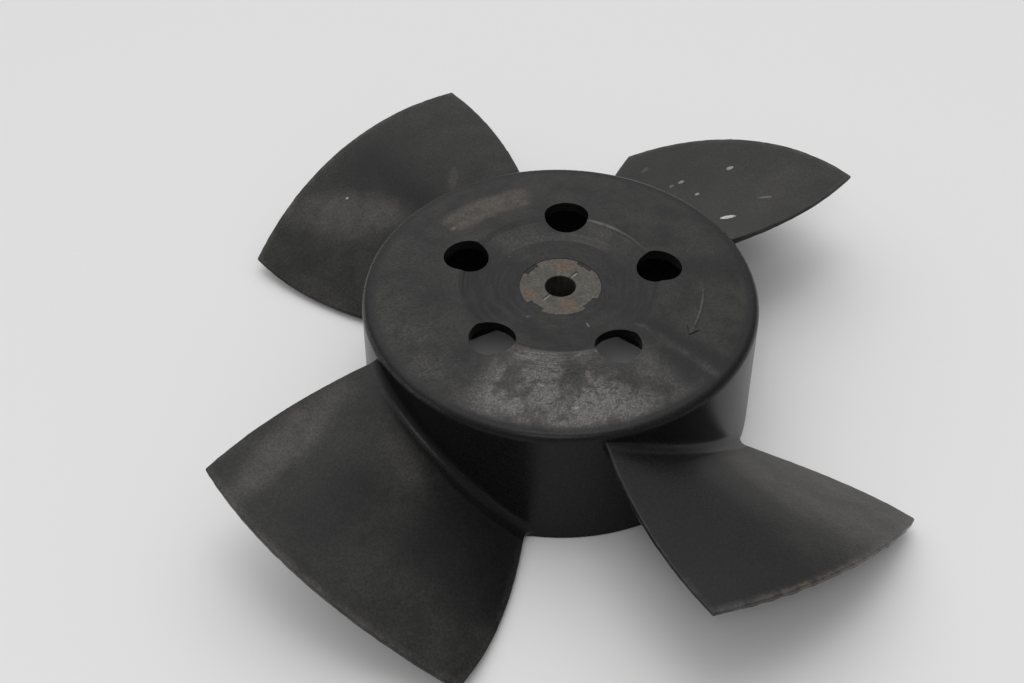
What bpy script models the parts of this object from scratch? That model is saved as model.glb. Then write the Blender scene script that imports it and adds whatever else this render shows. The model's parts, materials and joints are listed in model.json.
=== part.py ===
"""Moulded four-blade fan wheel with a steel hub insert.

Frame: +Z up along the wheel's axis, with the hub cup's open side down.
The origin is the centre of the hub's foot ring. Lengths are in metres.
Seen from above, the wheel turns clockwise, so each blade's leading edge is
its high edge, on the side of the smaller azimuth.
"""

import math

import bmesh
import bpy

# Hub cup: outer form
HUB_TOP_RADIUS = 0.065
HUB_DRAFT = 0.0006
HUB_WALL = 0.003
RIM_HEIGHT = 0.0473
RIM_ROUNDING = 0.003
FOOT_CHAMFER = 0.0004
CORNER_ROUNDING = 0.0025

# Hub cup: crowned front face with a dished middle
FACE_WALL = 0.0036
CROWN_RISE = 0.00375
LAND_WIDTH = 0.0093
DISH_WIDTH = 0.0095
CREST_WIDTH = 0.0022
STEP_DEPTH = 0.0005
DISH_DEPTH = 0.00158

# Hub cup: holes through the face, and the ribs that flank them below
HOLE_COUNT = 5
HOLE_RADIUS = 0.0075
HOLE_CIRCLE_RADIUS = 0.03366
FIRST_HOLE_DEG = 86.0
RIB_OFFSET_DEG = 20.8
RIB_THICKNESS = 0.002
RIB_DEPTH = 0.0068

# Steel insert, and the boss that is moulded around it
INSERT_RADIUS = 0.0135
INSERT_LENGTH = 0.017
INSERT_EDGE_CHAMFER = 0.0003
BORE_RADIUS = 0.005
BORE_CHAMFER = 0.0004
NOTCH_COUNT = 4
NOTCH_DEPTH = 0.0016
NOTCH_LENGTH = 0.004
NOTCH_HALF_WIDTH_DEG = 13.0
FIRST_NOTCH_DEG = 49.7
SLOT_WIDTH = 0.001
SLOT_DEPTH = 0.0006
SLOT_REACH = 0.0089
SLOT_DEG = 50.0
BOSS_WALL = 0.0035
BOSS_DRAFT = 0.0003
INSERT_STANDOUT = 0.001
MOULDING_GAP = 0.0003

# Blades: edges given at the root, at mid span and at the tip
FAN_RADIUS = 0.128
LEAD_DROP = 0.005
LEAD_HEIGHT_SHARES = (1.0, 0.944, 0.901)
TRAIL_HEIGHT_SHARES = (0.049, 0.037, 0.113)
LEAD_EDGE_DEG = (-26.8, -23.6, -19.1)
TRAIL_EDGE_DEG = (27.5, 27.3, 24.0)
BLADE_AZIMUTHS_DEG = (52.5, 127.5, 232.5, 307.5)
ROOT_CAMBER = 0.0036
TIP_CAMBER = 0.0069
ROOT_THICKNESS = 0.0033
TIP_THICKNESS = 0.002
ROOT_FILLET = 0.0032
FILLET_EDGE = 0.00003
TIP_EASE = 0.0004
FOOT_GAP = 0.0002

# Share of the root fillet that is left at the leading edge, and where it starts to fade
LEAD_FILLET_SHARE = 0.2
FILLET_FADE_SHARE = 0.8

# Fineness of the round forms
HUB_SEGMENTS = 96
HOLE_SEGMENTS = 48
RIM_STEPS = 5
CORNER_STEPS = 3
NOTCH_STEPS = 6
CHORD_STEPS = 14
NOSE_STEPS = 4
FILLET_STEPS = 4
SPAN_STEPS = 7

# Working allowances
OVERRUN = 0.002
MERGE_DISTANCE = 0.000001
SHARP_ANGLE_DEG = 30.0

# Heights and radii that several pieces share
HUB_FOOT_RADIUS = HUB_TOP_RADIUS + HUB_DRAFT
CROWN_HEIGHT = RIM_HEIGHT + CROWN_RISE
LAND_HEIGHT = CROWN_HEIGHT - STEP_DEPTH - DISH_DEPTH
LAND_RADIUS = INSERT_RADIUS + LAND_WIDTH
STEP_RADIUS = LAND_RADIUS + DISH_WIDTH
CROWN_RADIUS = STEP_RADIUS + CREST_WIDTH
RIM_CENTRE_RADIUS = HUB_TOP_RADIUS - RIM_ROUNDING
RIM_CENTRE_HEIGHT = RIM_HEIGHT - RIM_ROUNDING
CONE_ANGLE = math.atan2(CROWN_RISE, RIM_CENTRE_RADIUS - CROWN_RADIUS)
BOSS_RADIUS = INSERT_RADIUS + BOSS_WALL
INSERT_FOOT = LAND_HEIGHT - INSERT_LENGTH
BOSS_FOOT = INSERT_FOOT + INSERT_STANDOUT
RIB_FOOT = CROWN_HEIGHT - FACE_WALL - RIB_DEPTH
LEAD_HEIGHT = RIM_HEIGHT - LEAD_DROP


def clear_scene():
    """Remove whatever objects the open file holds."""
    for item in list(bpy.data.objects):
        bpy.data.objects.remove(item, do_unlink=True)


def make_material(name, colour, roughness, metallic):
    """Plain Principled material."""
    material = bpy.data.materials.new(name)
    material.use_nodes = True
    shader = material.node_tree.nodes["Principled BSDF"]
    shader.inputs["Base Color"].default_value = (*colour, 1.0)
    shader.inputs["Roughness"].default_value = roughness
    shader.inputs["Metallic"].default_value = metallic
    return material


def make_object(name, bm, material):
    """Turn an edit mesh into a named, smooth-shaded object."""
    bmesh.ops.recalc_face_normals(bm, faces=bm.faces)
    mesh = bpy.data.meshes.new(name)
    bm.to_mesh(mesh)
    bm.free()
    mesh.materials.append(material)
    mesh.shade_smooth()
    mesh.set_sharp_from_angle(angle=math.radians(SHARP_ANGLE_DEG))
    item = bpy.data.objects.new(name, mesh)
    bpy.context.scene.collection.objects.link(item)
    return item


def combine(target, tool, operation):
    """Join or cut target with tool, which is then only a guide."""
    modifier = target.modifiers.new(tool.name, "BOOLEAN")
    modifier.solver = "EXACT"
    modifier.operation = operation
    modifier.object = tool
    tool.hide_render = True
    tool.display_type = "WIRE"


def arc(centre, radius, start_deg, end_deg, steps):
    """Points along an arc, both ends included."""
    angles = [
        math.radians(start_deg + (end_deg - start_deg) * step / steps)
        for step in range(steps + 1)
    ]
    return [
        (centre[0] + radius * math.cos(angle), centre[1] + radius * math.sin(angle))
        for angle in angles
    ]


def add_turned(bm, profile, closed):
    """Turn a profile of (radius, height) points once around the axis."""
    points = [bm.verts.new((radius, 0.0, height)) for radius, height in profile]
    edges = [bm.edges.new(pair) for pair in zip(points, points[1:])]
    if closed:
        edges.append(bm.edges.new((points[-1], points[0])))
    bmesh.ops.spin(
        bm,
        geom=points + edges,
        cent=(0.0, 0.0, 0.0),
        axis=(0.0, 0.0, 1.0),
        angle=math.tau,
        steps=HUB_SEGMENTS,
    )
    bmesh.ops.remove_doubles(bm, verts=bm.verts, dist=MERGE_DISTANCE)


def add_prism(bm, outline, low, high):
    """Upright prism over an outline of (x, y) points."""
    foot = [bm.verts.new((x, y, low)) for x, y in outline]
    head = [bm.verts.new((x, y, high)) for x, y in outline]
    bm.faces.new(foot)
    bm.faces.new(head)
    for here in range(len(outline)):
        after = (here + 1) % len(outline)
        bm.faces.new((foot[here], foot[after], head[after], head[here]))


def face_height(radius):
    """Height of the hub's front face at a radius between the axis and the rim."""
    if radius <= LAND_RADIUS:
        return LAND_HEIGHT
    if radius < STEP_RADIUS:
        return LAND_HEIGHT + DISH_DEPTH * (radius - LAND_RADIUS) / DISH_WIDTH
    if radius <= CROWN_RADIUS:
        return CROWN_HEIGHT
    return CROWN_HEIGHT - (radius - CROWN_RADIUS) * math.tan(CONE_ANGLE)


def wall_radius(height):
    """Outer radius of the hub's drafted wall at a height."""
    share = min(max(height / RIM_CENTRE_HEIGHT, 0.0), 1.0)
    return HUB_FOOT_RADIUS + (HUB_TOP_RADIUS - HUB_FOOT_RADIUS) * share


def hub_profile():
    """Section of the hub cup, from the middle of its face round to the boss's foot."""
    rim = arc(
        (RIM_CENTRE_RADIUS, RIM_CENTRE_HEIGHT),
        RIM_ROUNDING,
        90.0 - math.degrees(CONE_ANGLE),
        0.0,
        RIM_STEPS,
    )
    inner_top = HUB_TOP_RADIUS - HUB_WALL
    inner_foot = HUB_FOOT_RADIUS - HUB_WALL
    corner_radius = inner_top - CORNER_ROUNDING
    corner_height = face_height(corner_radius) - FACE_WALL - CORNER_ROUNDING
    corner = arc((corner_radius, corner_height), CORNER_ROUNDING, 0.0, 90.0, CORNER_STEPS)
    return [
        (0.0, LAND_HEIGHT),
        (LAND_RADIUS, LAND_HEIGHT),
        (STEP_RADIUS, CROWN_HEIGHT - STEP_DEPTH),
        (STEP_RADIUS, CROWN_HEIGHT),
        (CROWN_RADIUS, CROWN_HEIGHT),
        *rim,
        (HUB_FOOT_RADIUS, FOOT_CHAMFER),
        (HUB_FOOT_RADIUS - FOOT_CHAMFER, 0.0),
        (inner_foot, 0.0),
        *corner,
        (CROWN_RADIUS, CROWN_HEIGHT - FACE_WALL),
        (STEP_RADIUS, CROWN_HEIGHT - FACE_WALL),
        (LAND_RADIUS, LAND_HEIGHT - FACE_WALL),
        (BOSS_RADIUS, LAND_HEIGHT - FACE_WALL),
        (BOSS_RADIUS - BOSS_DRAFT, BOSS_FOOT),
        (0.0, BOSS_FOOT),
    ]


def make_hub_cup(material):
    """The turned cup, with its boss still solid."""
    bm = bmesh.new()
    add_turned(bm, hub_profile(), closed=False)
    return make_object("fan_wheel", bm, material)


def hole_azimuths():
    """Azimuth of each hole through the face."""
    return [FIRST_HOLE_DEG + 360.0 * index / HOLE_COUNT for index in range(HOLE_COUNT)]


def make_hole_cutter(material):
    """Round cutters through the hub's face."""
    bm = bmesh.new()
    for azimuth in hole_azimuths():
        angle = math.radians(azimuth)
        centre = (HOLE_CIRCLE_RADIUS * math.cos(angle), HOLE_CIRCLE_RADIUS * math.sin(angle))
        outline = arc(centre, HOLE_RADIUS, azimuth, azimuth + 360.0, HOLE_SEGMENTS)[:-1]
        add_prism(bm, outline, RIB_FOOT, CROWN_HEIGHT + OVERRUN)
    return make_object("hole_cutter", bm, material)


def make_ribs(material):
    """Radial ribs under the face, a pair beside each hole, from boss to wall."""
    start = BOSS_RADIUS - BOSS_WALL * 0.5
    end = HUB_TOP_RADIUS - HUB_WALL * 0.5
    outline = [(start, RIB_FOOT), (end, RIB_FOOT)]
    for radius in (end, CROWN_RADIUS, STEP_RADIUS, LAND_RADIUS, start):
        outline.append((radius, face_height(radius) - FACE_WALL * 0.5))
    bm = bmesh.new()
    for azimuth in hole_azimuths():
        for side in (-RIB_OFFSET_DEG, RIB_OFFSET_DEG):
            angle = math.radians(azimuth + side)
            along = (math.cos(angle), math.sin(angle))
            faces = []
            for shift in (-RIB_THICKNESS * 0.5, RIB_THICKNESS * 0.5):
                faces.append([
                    bm.verts.new((
                        radius * along[0] - shift * along[1],
                        radius * along[1] + shift * along[0],
                        height,
                    ))
                    for radius, height in outline
                ])
                bm.faces.new(faces[-1])
            for here in range(len(outline)):
                after = (here + 1) % len(outline)
                bm.faces.new((faces[0][here], faces[0][after], faces[1][after], faces[1][here]))
    return make_object("rib_guide", bm, material)


def at_span(values, share):
    """Curve through the values at the root, at mid span and at the tip."""
    root, middle, tip = values
    return (
        root * (1.0 - share) * (1.0 - 2.0 * share)
        + middle * 4.0 * share * (1.0 - share)
        + tip * share * (2.0 * share - 1.0)
    )


def mix(start, end, share):
    """Straight blend of two values."""
    return start + (end - start) * share


def blade_midline(share, chord_share):
    """Point of the blade's middle surface, unrolled: arc length from the blade's azimuth, height."""
    radius = mix(HUB_TOP_RADIUS, FAN_RADIUS, share)
    trail_angle = math.radians(at_span(TRAIL_EDGE_DEG, share))
    lead_angle = math.radians(at_span(LEAD_EDGE_DEG, share))
    trail_height = LEAD_HEIGHT * at_span(TRAIL_HEIGHT_SHARES, share)
    lead_height = LEAD_HEIGHT * at_span(LEAD_HEIGHT_SHARES, share)
    camber = mix(ROOT_CAMBER, TIP_CAMBER, share) * 4.0 * chord_share * (1.0 - chord_share)
    along = -radius * mix(trail_angle, lead_angle, chord_share)
    return along, mix(trail_height, lead_height, chord_share) + camber


def fillet_share(chord_share):
    """The root fillet fades out towards the leading edge."""
    fade = max(chord_share - FILLET_FADE_SHARE, 0.0) / (1.0 - FILLET_FADE_SHARE)
    return mix(1.0, LEAD_FILLET_SHARE, fade)


def blade_section(share, half_thickness, flare):
    """Closed section at one radius, unrolled, with round edges and the root fillet's flare."""
    trail = blade_midline(share, 0.0)
    lead = blade_midline(share, 1.0)
    inset = half_thickness / math.dist(trail, lead)
    upper = []
    lower = []
    noses = []
    for step in range(CHORD_STEPS + 1):
        chord_share = mix(inset, 1.0 - inset, step / CHORD_STEPS)
        before = blade_midline(share, chord_share - inset)
        after = blade_midline(share, chord_share + inset)
        middle = blade_midline(share, chord_share)
        length = math.dist(before, after)
        tangent = ((after[0] - before[0]) / length, (after[1] - before[1]) / length)
        reach = half_thickness + flare * fillet_share(chord_share)
        upper.append((middle[0] - tangent[1] * reach, middle[1] + tangent[0] * reach))
        lower.append((middle[0] + tangent[1] * reach, middle[1] - tangent[0] * reach))
        if step in (0, CHORD_STEPS):
            heading = math.degrees(math.atan2(tangent[1], tangent[0]))
            noses.append((middle, reach, heading))
    trail_nose = arc(noses[0][0], noses[0][1], noses[0][2] + 90.0, noses[0][2] + 270.0, 2 * NOSE_STEPS)
    lead_nose = arc(noses[1][0], noses[1][1], noses[1][2] - 90.0, noses[1][2] + 90.0, 2 * NOSE_STEPS)
    outline = upper[::-1] + trail_nose[1:-1] + lower + lead_nose[1:-1]
    return [(along, max(height, FOOT_GAP)) for along, height in outline]


def blade_stations():
    """(span share, half thickness, flare) of each section, from inside the wall to the tip."""
    span = FAN_RADIUS - HUB_TOP_RADIUS
    stations = [(-HUB_WALL * 0.5 / span, ROOT_THICKNESS * 0.5, ROOT_FILLET)]
    for step in range(FILLET_STEPS + 1):
        angle = math.radians(90.0 * step / FILLET_STEPS)
        share = (FILLET_EDGE + ROOT_FILLET * (1.0 - math.cos(angle))) / span
        thickness = mix(ROOT_THICKNESS, TIP_THICKNESS, share)
        stations.append((share, thickness * 0.5, ROOT_FILLET * (1.0 - math.sin(angle))))
    first = stations[-1][0]
    last = 1.0 - TIP_EASE / span
    for step in range(1, SPAN_STEPS + 1):
        share = mix(first, last, step / SPAN_STEPS)
        stations.append((share, mix(ROOT_THICKNESS, TIP_THICKNESS, share) * 0.5, 0.0))
    stations.append((1.0, TIP_THICKNESS * 0.5 - TIP_EASE, 0.0))
    return stations


def close_end(bm, ring):
    """Close a blade's end with strips between its upper and its lower side."""
    apex = CHORD_STEPS + NOSE_STEPS
    around = ring[apex:] + ring[:apex]
    bm.faces.new((around[0], around[1], around[-1]))
    left = 1
    right = len(ring) - 1
    while right - left > 2:
        bm.faces.new((around[left], around[left + 1], around[right - 1], around[right]))
        left += 1
        right -= 1
    bm.faces.new((around[left], around[left + 1], around[right]))


def add_blade(bm, azimuth_deg):
    """Loft one blade through its sections, from inside the hub's wall to the tip."""
    rings = []
    for share, half_thickness, flare in blade_stations():
        drawn_radius = mix(HUB_TOP_RADIUS, FAN_RADIUS, share)
        ring = []
        for along, height in blade_section(share, half_thickness, flare):
            angle = math.radians(azimuth_deg) - along / drawn_radius
            radius = mix(wall_radius(height), FAN_RADIUS, share)
            ring.append(bm.verts.new((radius * math.cos(angle), radius * math.sin(angle), height)))
        rings.append(ring)
    count = len(rings[0])
    for inner, outer in zip(rings, rings[1:]):
        for here in range(count):
            after = (here + 1) % count
            bm.faces.new((inner[here], inner[after], outer[after], outer[here]))
    close_end(bm, rings[0])
    close_end(bm, rings[-1])


def make_blades(material):
    """All blades, each with its root sunk into the hub's wall."""
    bm = bmesh.new()
    for azimuth_deg in BLADE_AZIMUTHS_DEG:
        add_blade(bm, azimuth_deg)
    return make_object("blade_guide", bm, material)


def add_notches(bm, gap):
    """Notch blocks at both ends of the insert; a gap makes them the lugs that fill the notches."""
    floor = INSERT_RADIUS - NOTCH_DEPTH + gap
    outside = INSERT_RADIUS + OVERRUN
    half_width = NOTCH_HALF_WIDTH_DEG - math.degrees(gap / INSERT_RADIUS)
    for index in range(NOTCH_COUNT):
        centre = FIRST_NOTCH_DEG + 360.0 * index / NOTCH_COUNT
        inner = arc((0.0, 0.0), floor, centre - half_width, centre + half_width, NOTCH_STEPS)
        outer = arc((0.0, 0.0), outside, centre + half_width, centre - half_width, NOTCH_STEPS)
        add_prism(bm, inner + outer, LAND_HEIGHT - NOTCH_LENGTH + gap, LAND_HEIGHT + 2.0 * OVERRUN)
        add_prism(bm, inner + outer, INSERT_FOOT - 2.0 * OVERRUN, INSERT_FOOT + NOTCH_LENGTH - gap)


def make_insert(material):
    """Turned steel insert, notched at both ends and slotted across its front face."""
    outside = INSERT_RADIUS - INSERT_EDGE_CHAMFER
    bore_mouth = BORE_RADIUS + BORE_CHAMFER
    bm = bmesh.new()
    add_turned(
        bm,
        [
            (bore_mouth, LAND_HEIGHT),
            (outside, LAND_HEIGHT),
            (INSERT_RADIUS, LAND_HEIGHT - INSERT_EDGE_CHAMFER),
            (INSERT_RADIUS, INSERT_FOOT + INSERT_EDGE_CHAMFER),
            (outside, INSERT_FOOT),
            (bore_mouth, INSERT_FOOT),
            (BORE_RADIUS, INSERT_FOOT + BORE_CHAMFER),
            (BORE_RADIUS, LAND_HEIGHT - BORE_CHAMFER),
        ],
        closed=True,
    )
    insert = make_object("hub_insert", bm, material)

    bm = bmesh.new()
    add_notches(bm, 0.0)
    combine(insert, make_object("notch_cutter", bm, material), "DIFFERENCE")

    angle = math.radians(SLOT_DEG)
    along = (math.cos(angle), math.sin(angle))
    half = SLOT_WIDTH * 0.5
    corners = ((-SLOT_REACH, -half), (SLOT_REACH, -half), (SLOT_REACH, half), (-SLOT_REACH, half))
    outline = [(x * along[0] - y * along[1], x * along[1] + y * along[0]) for x, y in corners]
    bm = bmesh.new()
    add_prism(bm, outline, LAND_HEIGHT - SLOT_DEPTH, LAND_HEIGHT + OVERRUN)
    combine(insert, make_object("slot_cutter", bm, material), "DIFFERENCE")


def make_pocket_cutter(material):
    """The insert's outer form grown by the moulding gap, with lugs left for its notches."""
    outline = arc((0.0, 0.0), INSERT_RADIUS + MOULDING_GAP, 0.0, 360.0, HUB_SEGMENTS)[:-1]
    bm = bmesh.new()
    add_prism(bm, outline, BOSS_FOOT - OVERRUN, LAND_HEIGHT + OVERRUN)
    pocket = make_object("pocket_cutter", bm, material)
    bm = bmesh.new()
    add_notches(bm, MOULDING_GAP)
    combine(pocket, make_object("lug_guide", bm, material), "DIFFERENCE")
    return pocket


def main():
    clear_scene()
    plastic = make_material("glass_filled_plastic", (0.045, 0.045, 0.047), 0.5, 0.0)
    steel = make_material("turned_steel", (0.30, 0.29, 0.27), 0.45, 1.0)
    wheel = make_hub_cup(plastic)
    combine(wheel, make_ribs(plastic), "UNION")
    combine(wheel, make_blades(plastic), "UNION")
    combine(wheel, make_hole_cutter(plastic), "DIFFERENCE")
    combine(wheel, make_pocket_cutter(plastic), "DIFFERENCE")
    make_insert(steel)


main()
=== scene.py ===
import json
import math

import bmesh
import bpy
from bpy.props import FloatProperty, FloatVectorProperty, IntProperty, PointerProperty
from mathutils import Matrix, Vector, noise
from mathutils.geometry import intersect_point_line

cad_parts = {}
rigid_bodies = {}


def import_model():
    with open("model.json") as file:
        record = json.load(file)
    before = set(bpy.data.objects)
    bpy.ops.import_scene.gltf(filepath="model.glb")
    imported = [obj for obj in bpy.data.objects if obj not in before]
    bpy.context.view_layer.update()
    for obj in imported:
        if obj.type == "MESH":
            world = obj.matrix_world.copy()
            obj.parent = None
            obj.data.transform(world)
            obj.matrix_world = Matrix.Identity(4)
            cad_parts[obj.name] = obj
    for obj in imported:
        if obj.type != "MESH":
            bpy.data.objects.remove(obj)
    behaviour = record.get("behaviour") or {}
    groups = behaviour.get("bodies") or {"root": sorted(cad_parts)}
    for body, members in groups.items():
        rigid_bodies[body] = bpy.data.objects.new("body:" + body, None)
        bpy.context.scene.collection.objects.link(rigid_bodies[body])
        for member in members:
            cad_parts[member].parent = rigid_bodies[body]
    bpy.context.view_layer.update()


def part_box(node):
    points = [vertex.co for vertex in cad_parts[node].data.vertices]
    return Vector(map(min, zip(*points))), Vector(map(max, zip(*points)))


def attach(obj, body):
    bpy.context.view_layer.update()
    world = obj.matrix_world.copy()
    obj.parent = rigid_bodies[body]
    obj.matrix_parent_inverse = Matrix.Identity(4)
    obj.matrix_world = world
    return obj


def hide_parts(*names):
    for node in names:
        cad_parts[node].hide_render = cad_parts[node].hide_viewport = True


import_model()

bl_info = {
    "name": "Moulded fan wheel",
    "version": (1, 0, 0),
    "blender": (4, 5, 0),
    "location": "3D View > Sidebar > Fan wheel",
    "description": "Dresses a four-blade fan wheel: moulding, steel insert, arrow, studio",
    "category": "Object",
}

INSERT_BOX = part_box("hub_insert")
AXIS = (0.0, 0.0, 1.0)
ORIGIN = (0.0, 0.0, 0.0)

# Working allowances, in metres
OVERRUN = 0.002
MERGE_DISTANCE = 0.000002
START_SIZE = 0.001

# Seed of the noise vectors, which would otherwise differ from run to run
CHIP_SEED = 7

# Facets of small roundings, and rows along the crown and the wall
STEP_FACETS = 3
RIM_FACETS = 12
CORNER_FACETS = 6
EDGE_FACETS = 4
TIP_FACETS = 3
RIB_FACETS = 3
NOTCH_FACETS = 12
HOLE_FACETS = 96
CROWN_ROWS = 9
WALL_ROWS = 24

# Where an angle between faces stays crisp
SHARP_ANGLE = math.radians(30.0)
ARROW_SHARP_ANGLE = math.radians(40.0)

# The trimmed edges: the band that counts as an edge, as a share of the blade's thickness or
# of its tip's rounding, the noise above which a nick starts, and how much coarser than the
# chips the nicks and the burr are
SIDE_BAND_SHARE = 0.6
TIP_BAND_SHARE = 1.5
NICK_THRESHOLD = 0.35
NICK_PITCH_SHARE = 0.25
BURR_PITCH_SHARE = 0.6

# Noise that tears a notch's edge: its scale on the unit circle and its slice
TEAR_SCALE = 40.0
TEAR_SLICE = 0.3

# How much of half the arrow's width the rounding of its edges may take
ARROW_EASE_SHARE = 0.8

# How the places for ring and ray noise shrink the turn about the axis and the radius
RING_TURN_SCALE = 0.003
RAY_TURN_SCALE = 0.1
RAY_RADIAL_SCALE = 0.8
LARGEST_COSINE = 0.99999

# Where the masks of face and blades fade: metres from the rim's height or the hub's radius,
# and how far the surface faces up
FACE_HEIGHTS = (-0.0048, -0.0028)
FACE_RADII = (0.0005, 0.0010)
FACE_RISES = (0.3, 0.7)
BLADE_RADII = (0.0015, 0.0030)
BLADE_RISES = (0.2, 0.6)

# Dust: how far up it needs a surface to face, its noise (detail, roughness), the noise values
# between which it thins, its scale, and how much of it is missing on the blades and the face
DUST_RISES = (0.15, 0.95)
DUST_NOISE = (6.0, 0.7)
BARE_BETWEEN = (0.36, 0.62)
DUST_SCALE = 75.0
PATCHINESS = 0.5
FACE_PATCHINESS = 0.9

# Grain: its noise (detail, roughness), the ripples' noise (scale, detail, roughness,
# distortion) and their share on the whole face, scale and relief on each finish, and the
# tones that the plastic's grain gives (grain values, tones)
GRAIN_NOISE = (3.0, 0.65)
RIPPLE_NOISE = (1000.0, 2.0, 0.55, 0.3)
FACE_RIPPLE = 0.2
PLASTIC_GRAIN = (1300.0, 0.00007)
STEEL_GRAIN = (900.0, 0.00003)
PLASTIC_TONES = (0.28, 0.72, 0.70, 1.32)

# Ovals: the noise of their edge (detail, roughness), how far it moves the edge, and softness
# and noise scale of specks and soft patches
OVAL_NOISE = (2.0, 0.6)
OVAL_RAGGEDNESS = 0.9
SPECK_EDGE = (0.12, 1600.0)
PATCH_EDGE = (0.55, 90.0)

# Cracks: noise (scale, detail, roughness, distortion) and width; softness of worn lines, as a
# share of their half width and in degrees
CRACK_NOISE = (190.0, 3.0, 0.6, 0.6)
CRACK_WIDTH = 0.035
LINE_SOFTNESS_SHARE = 0.6
LINE_TURN_SOFTNESS = 8.0

# Steel: noise (scale, detail, roughness), the noise values between which rust and light
# steel begin, how dark the rest is, roughness by noise value, and the bounds of the painted
# highlight in the drive slot
STEEL_NOISE = (260.0, 4.0, 0.65)
RUST_BETWEEN = (0.38, 0.56)
LIGHT_STEEL_BETWEEN = (0.32, 0.60)
DARK_STEEL_SHARE = 0.62
STEEL_ROUGHNESSES = (0.3, 0.7, 0.42, 0.60)
SLOT_DEPTHS = (0.0002, 0.0001)
SLOT_STARTS = (0.0054, 0.0058)
SLOT_ENDS = (0.0092, 0.0096)
FLOOR_ROUGHNESS = 0.9

# The bright part of the sky: where its middle is, the cosine at its edge and its fall-off
SKY_MIDDLE = (-0.12, 0.42, 0.90)
SKY_EDGE = 0.25
SKY_FALL = 2.0

# Soft boxes: length as a share of width; camera: sensor width in millimetres, and the nearest
# distance that it shows in metres
SOFTBOX_SHARE = 0.7
SENSOR_WIDTH = 36.0
CLIP_START = 0.01


def length(name, text, default):
    """Property for a length in metres."""
    return FloatProperty(name=name, description=text, default=default, precision=5, unit="LENGTH")


def share(name, text, default):
    """Property for a plain share or strength."""
    return FloatProperty(name=name, description=text, default=default, min=0.0, subtype="FACTOR")


def turn(name, text, degrees):
    """Property for an angle, given here in degrees."""
    return FloatProperty(
        name=name, description=text, default=math.radians(degrees), unit="ROTATION", precision=4
    )


def turns(name, text, degrees):
    """Property for a row of angles, given here in degrees."""
    return FloatVectorProperty(
        name=name,
        description=text,
        default=[math.radians(value) for value in degrees],
        size=len(degrees),
        unit="ROTATION",
    )


def shares(name, text, values):
    """Property for a row of shares."""
    return FloatVectorProperty(name=name, description=text, default=values, size=len(values))


def place(name, text, values):
    """Property for a point in metres."""
    return FloatVectorProperty(
        name=name,
        description=text,
        default=values,
        size=3,
        precision=5,
        subtype="XYZ",
        unit="LENGTH",
    )


def tint(name, text, values):
    """Property for a colour, in linear values."""
    return FloatVectorProperty(
        name=name, description=text, default=values, size=3, min=0.0, max=1.0, subtype="COLOR"
    )


def power(name, text, default):
    """Property for a lamp's power in watts."""
    return FloatProperty(name=name, description=text, default=default, min=0.0, unit="POWER")


def count(name, text, default):
    """Property for a number of copies or facets."""
    return IntProperty(name=name, description=text, default=default, min=1)


class HubSizes(bpy.types.PropertyGroup):
    """Sizes of the hub cup, its boss, its ribs and its face holes."""

    top_radius: length("Top radius", "Outer radius at the rim", 0.065)
    draft: length("Draft", "How much wider the wall is at its foot", 0.0006)
    wall: length("Wall", "Thickness of the cup's side wall", 0.003)
    rim_height: length("Rim height", "Height where the face meets the wall", 0.0473)
    rim_rounding: length("Rim rounding", "Radius between face and wall", 0.003)
    foot_chamfer: length("Foot chamfer", "Bevel of the foot ring", 0.0004)
    corner_rounding: length("Corner rounding", "Radius inside the cup", 0.0025)
    face_wall: length("Face wall", "Thickness of the face", 0.0036)
    crown_rise: length("Crown rise", "How far the face rises towards its middle", 0.00375)
    land_width: length("Land width", "Flat ring round the insert", 0.0093)
    dish_width: length("Dish width", "Sloped ring outside the land", 0.0095)
    dish_depth: length("Dish depth", "Fall of the sloped ring", 0.00158)
    step_depth: length("Step depth", "Rise from the dish to the crown", 0.0005)
    step_ramp: length("Step ramp", "Half the width of the step's slope", 0.0009)
    step_rounding: length("Step rounding", "Radius of the step's edges", 0.0012)
    crest_width: length("Crest width", "Flat top of the crown", 0.0022)
    hole_radius: length("Hole radius", "Radius of each face hole", 0.0075)
    hole_circle: length("Hole circle", "Distance of the holes from the axis", 0.03366)
    hole_count: count("Holes", "Number of face holes", 5)
    first_hole: turn("First hole", "Azimuth of the first hole", 86.0)
    rib_offset: turn("Rib offset", "Angle from a hole to the ribs beside it", 20.8)
    rib_thickness: length("Rib thickness", "Thickness of a rib", 0.002)
    rib_depth: length("Rib depth", "How far a rib hangs below the face", 0.0068)
    rib_rounding: length("Rib rounding", "Radius of a rib's free edge", 0.0004)
    boss_wall: length("Boss wall", "Plastic round the insert", 0.0035)
    boss_draft: length("Boss draft", "How much slimmer the boss is at its foot", 0.0003)
    standout: length("Standout", "How far the insert reaches below the boss", 0.001)
    segments: count("Segments", "Facets round the hub", 192)


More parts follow.
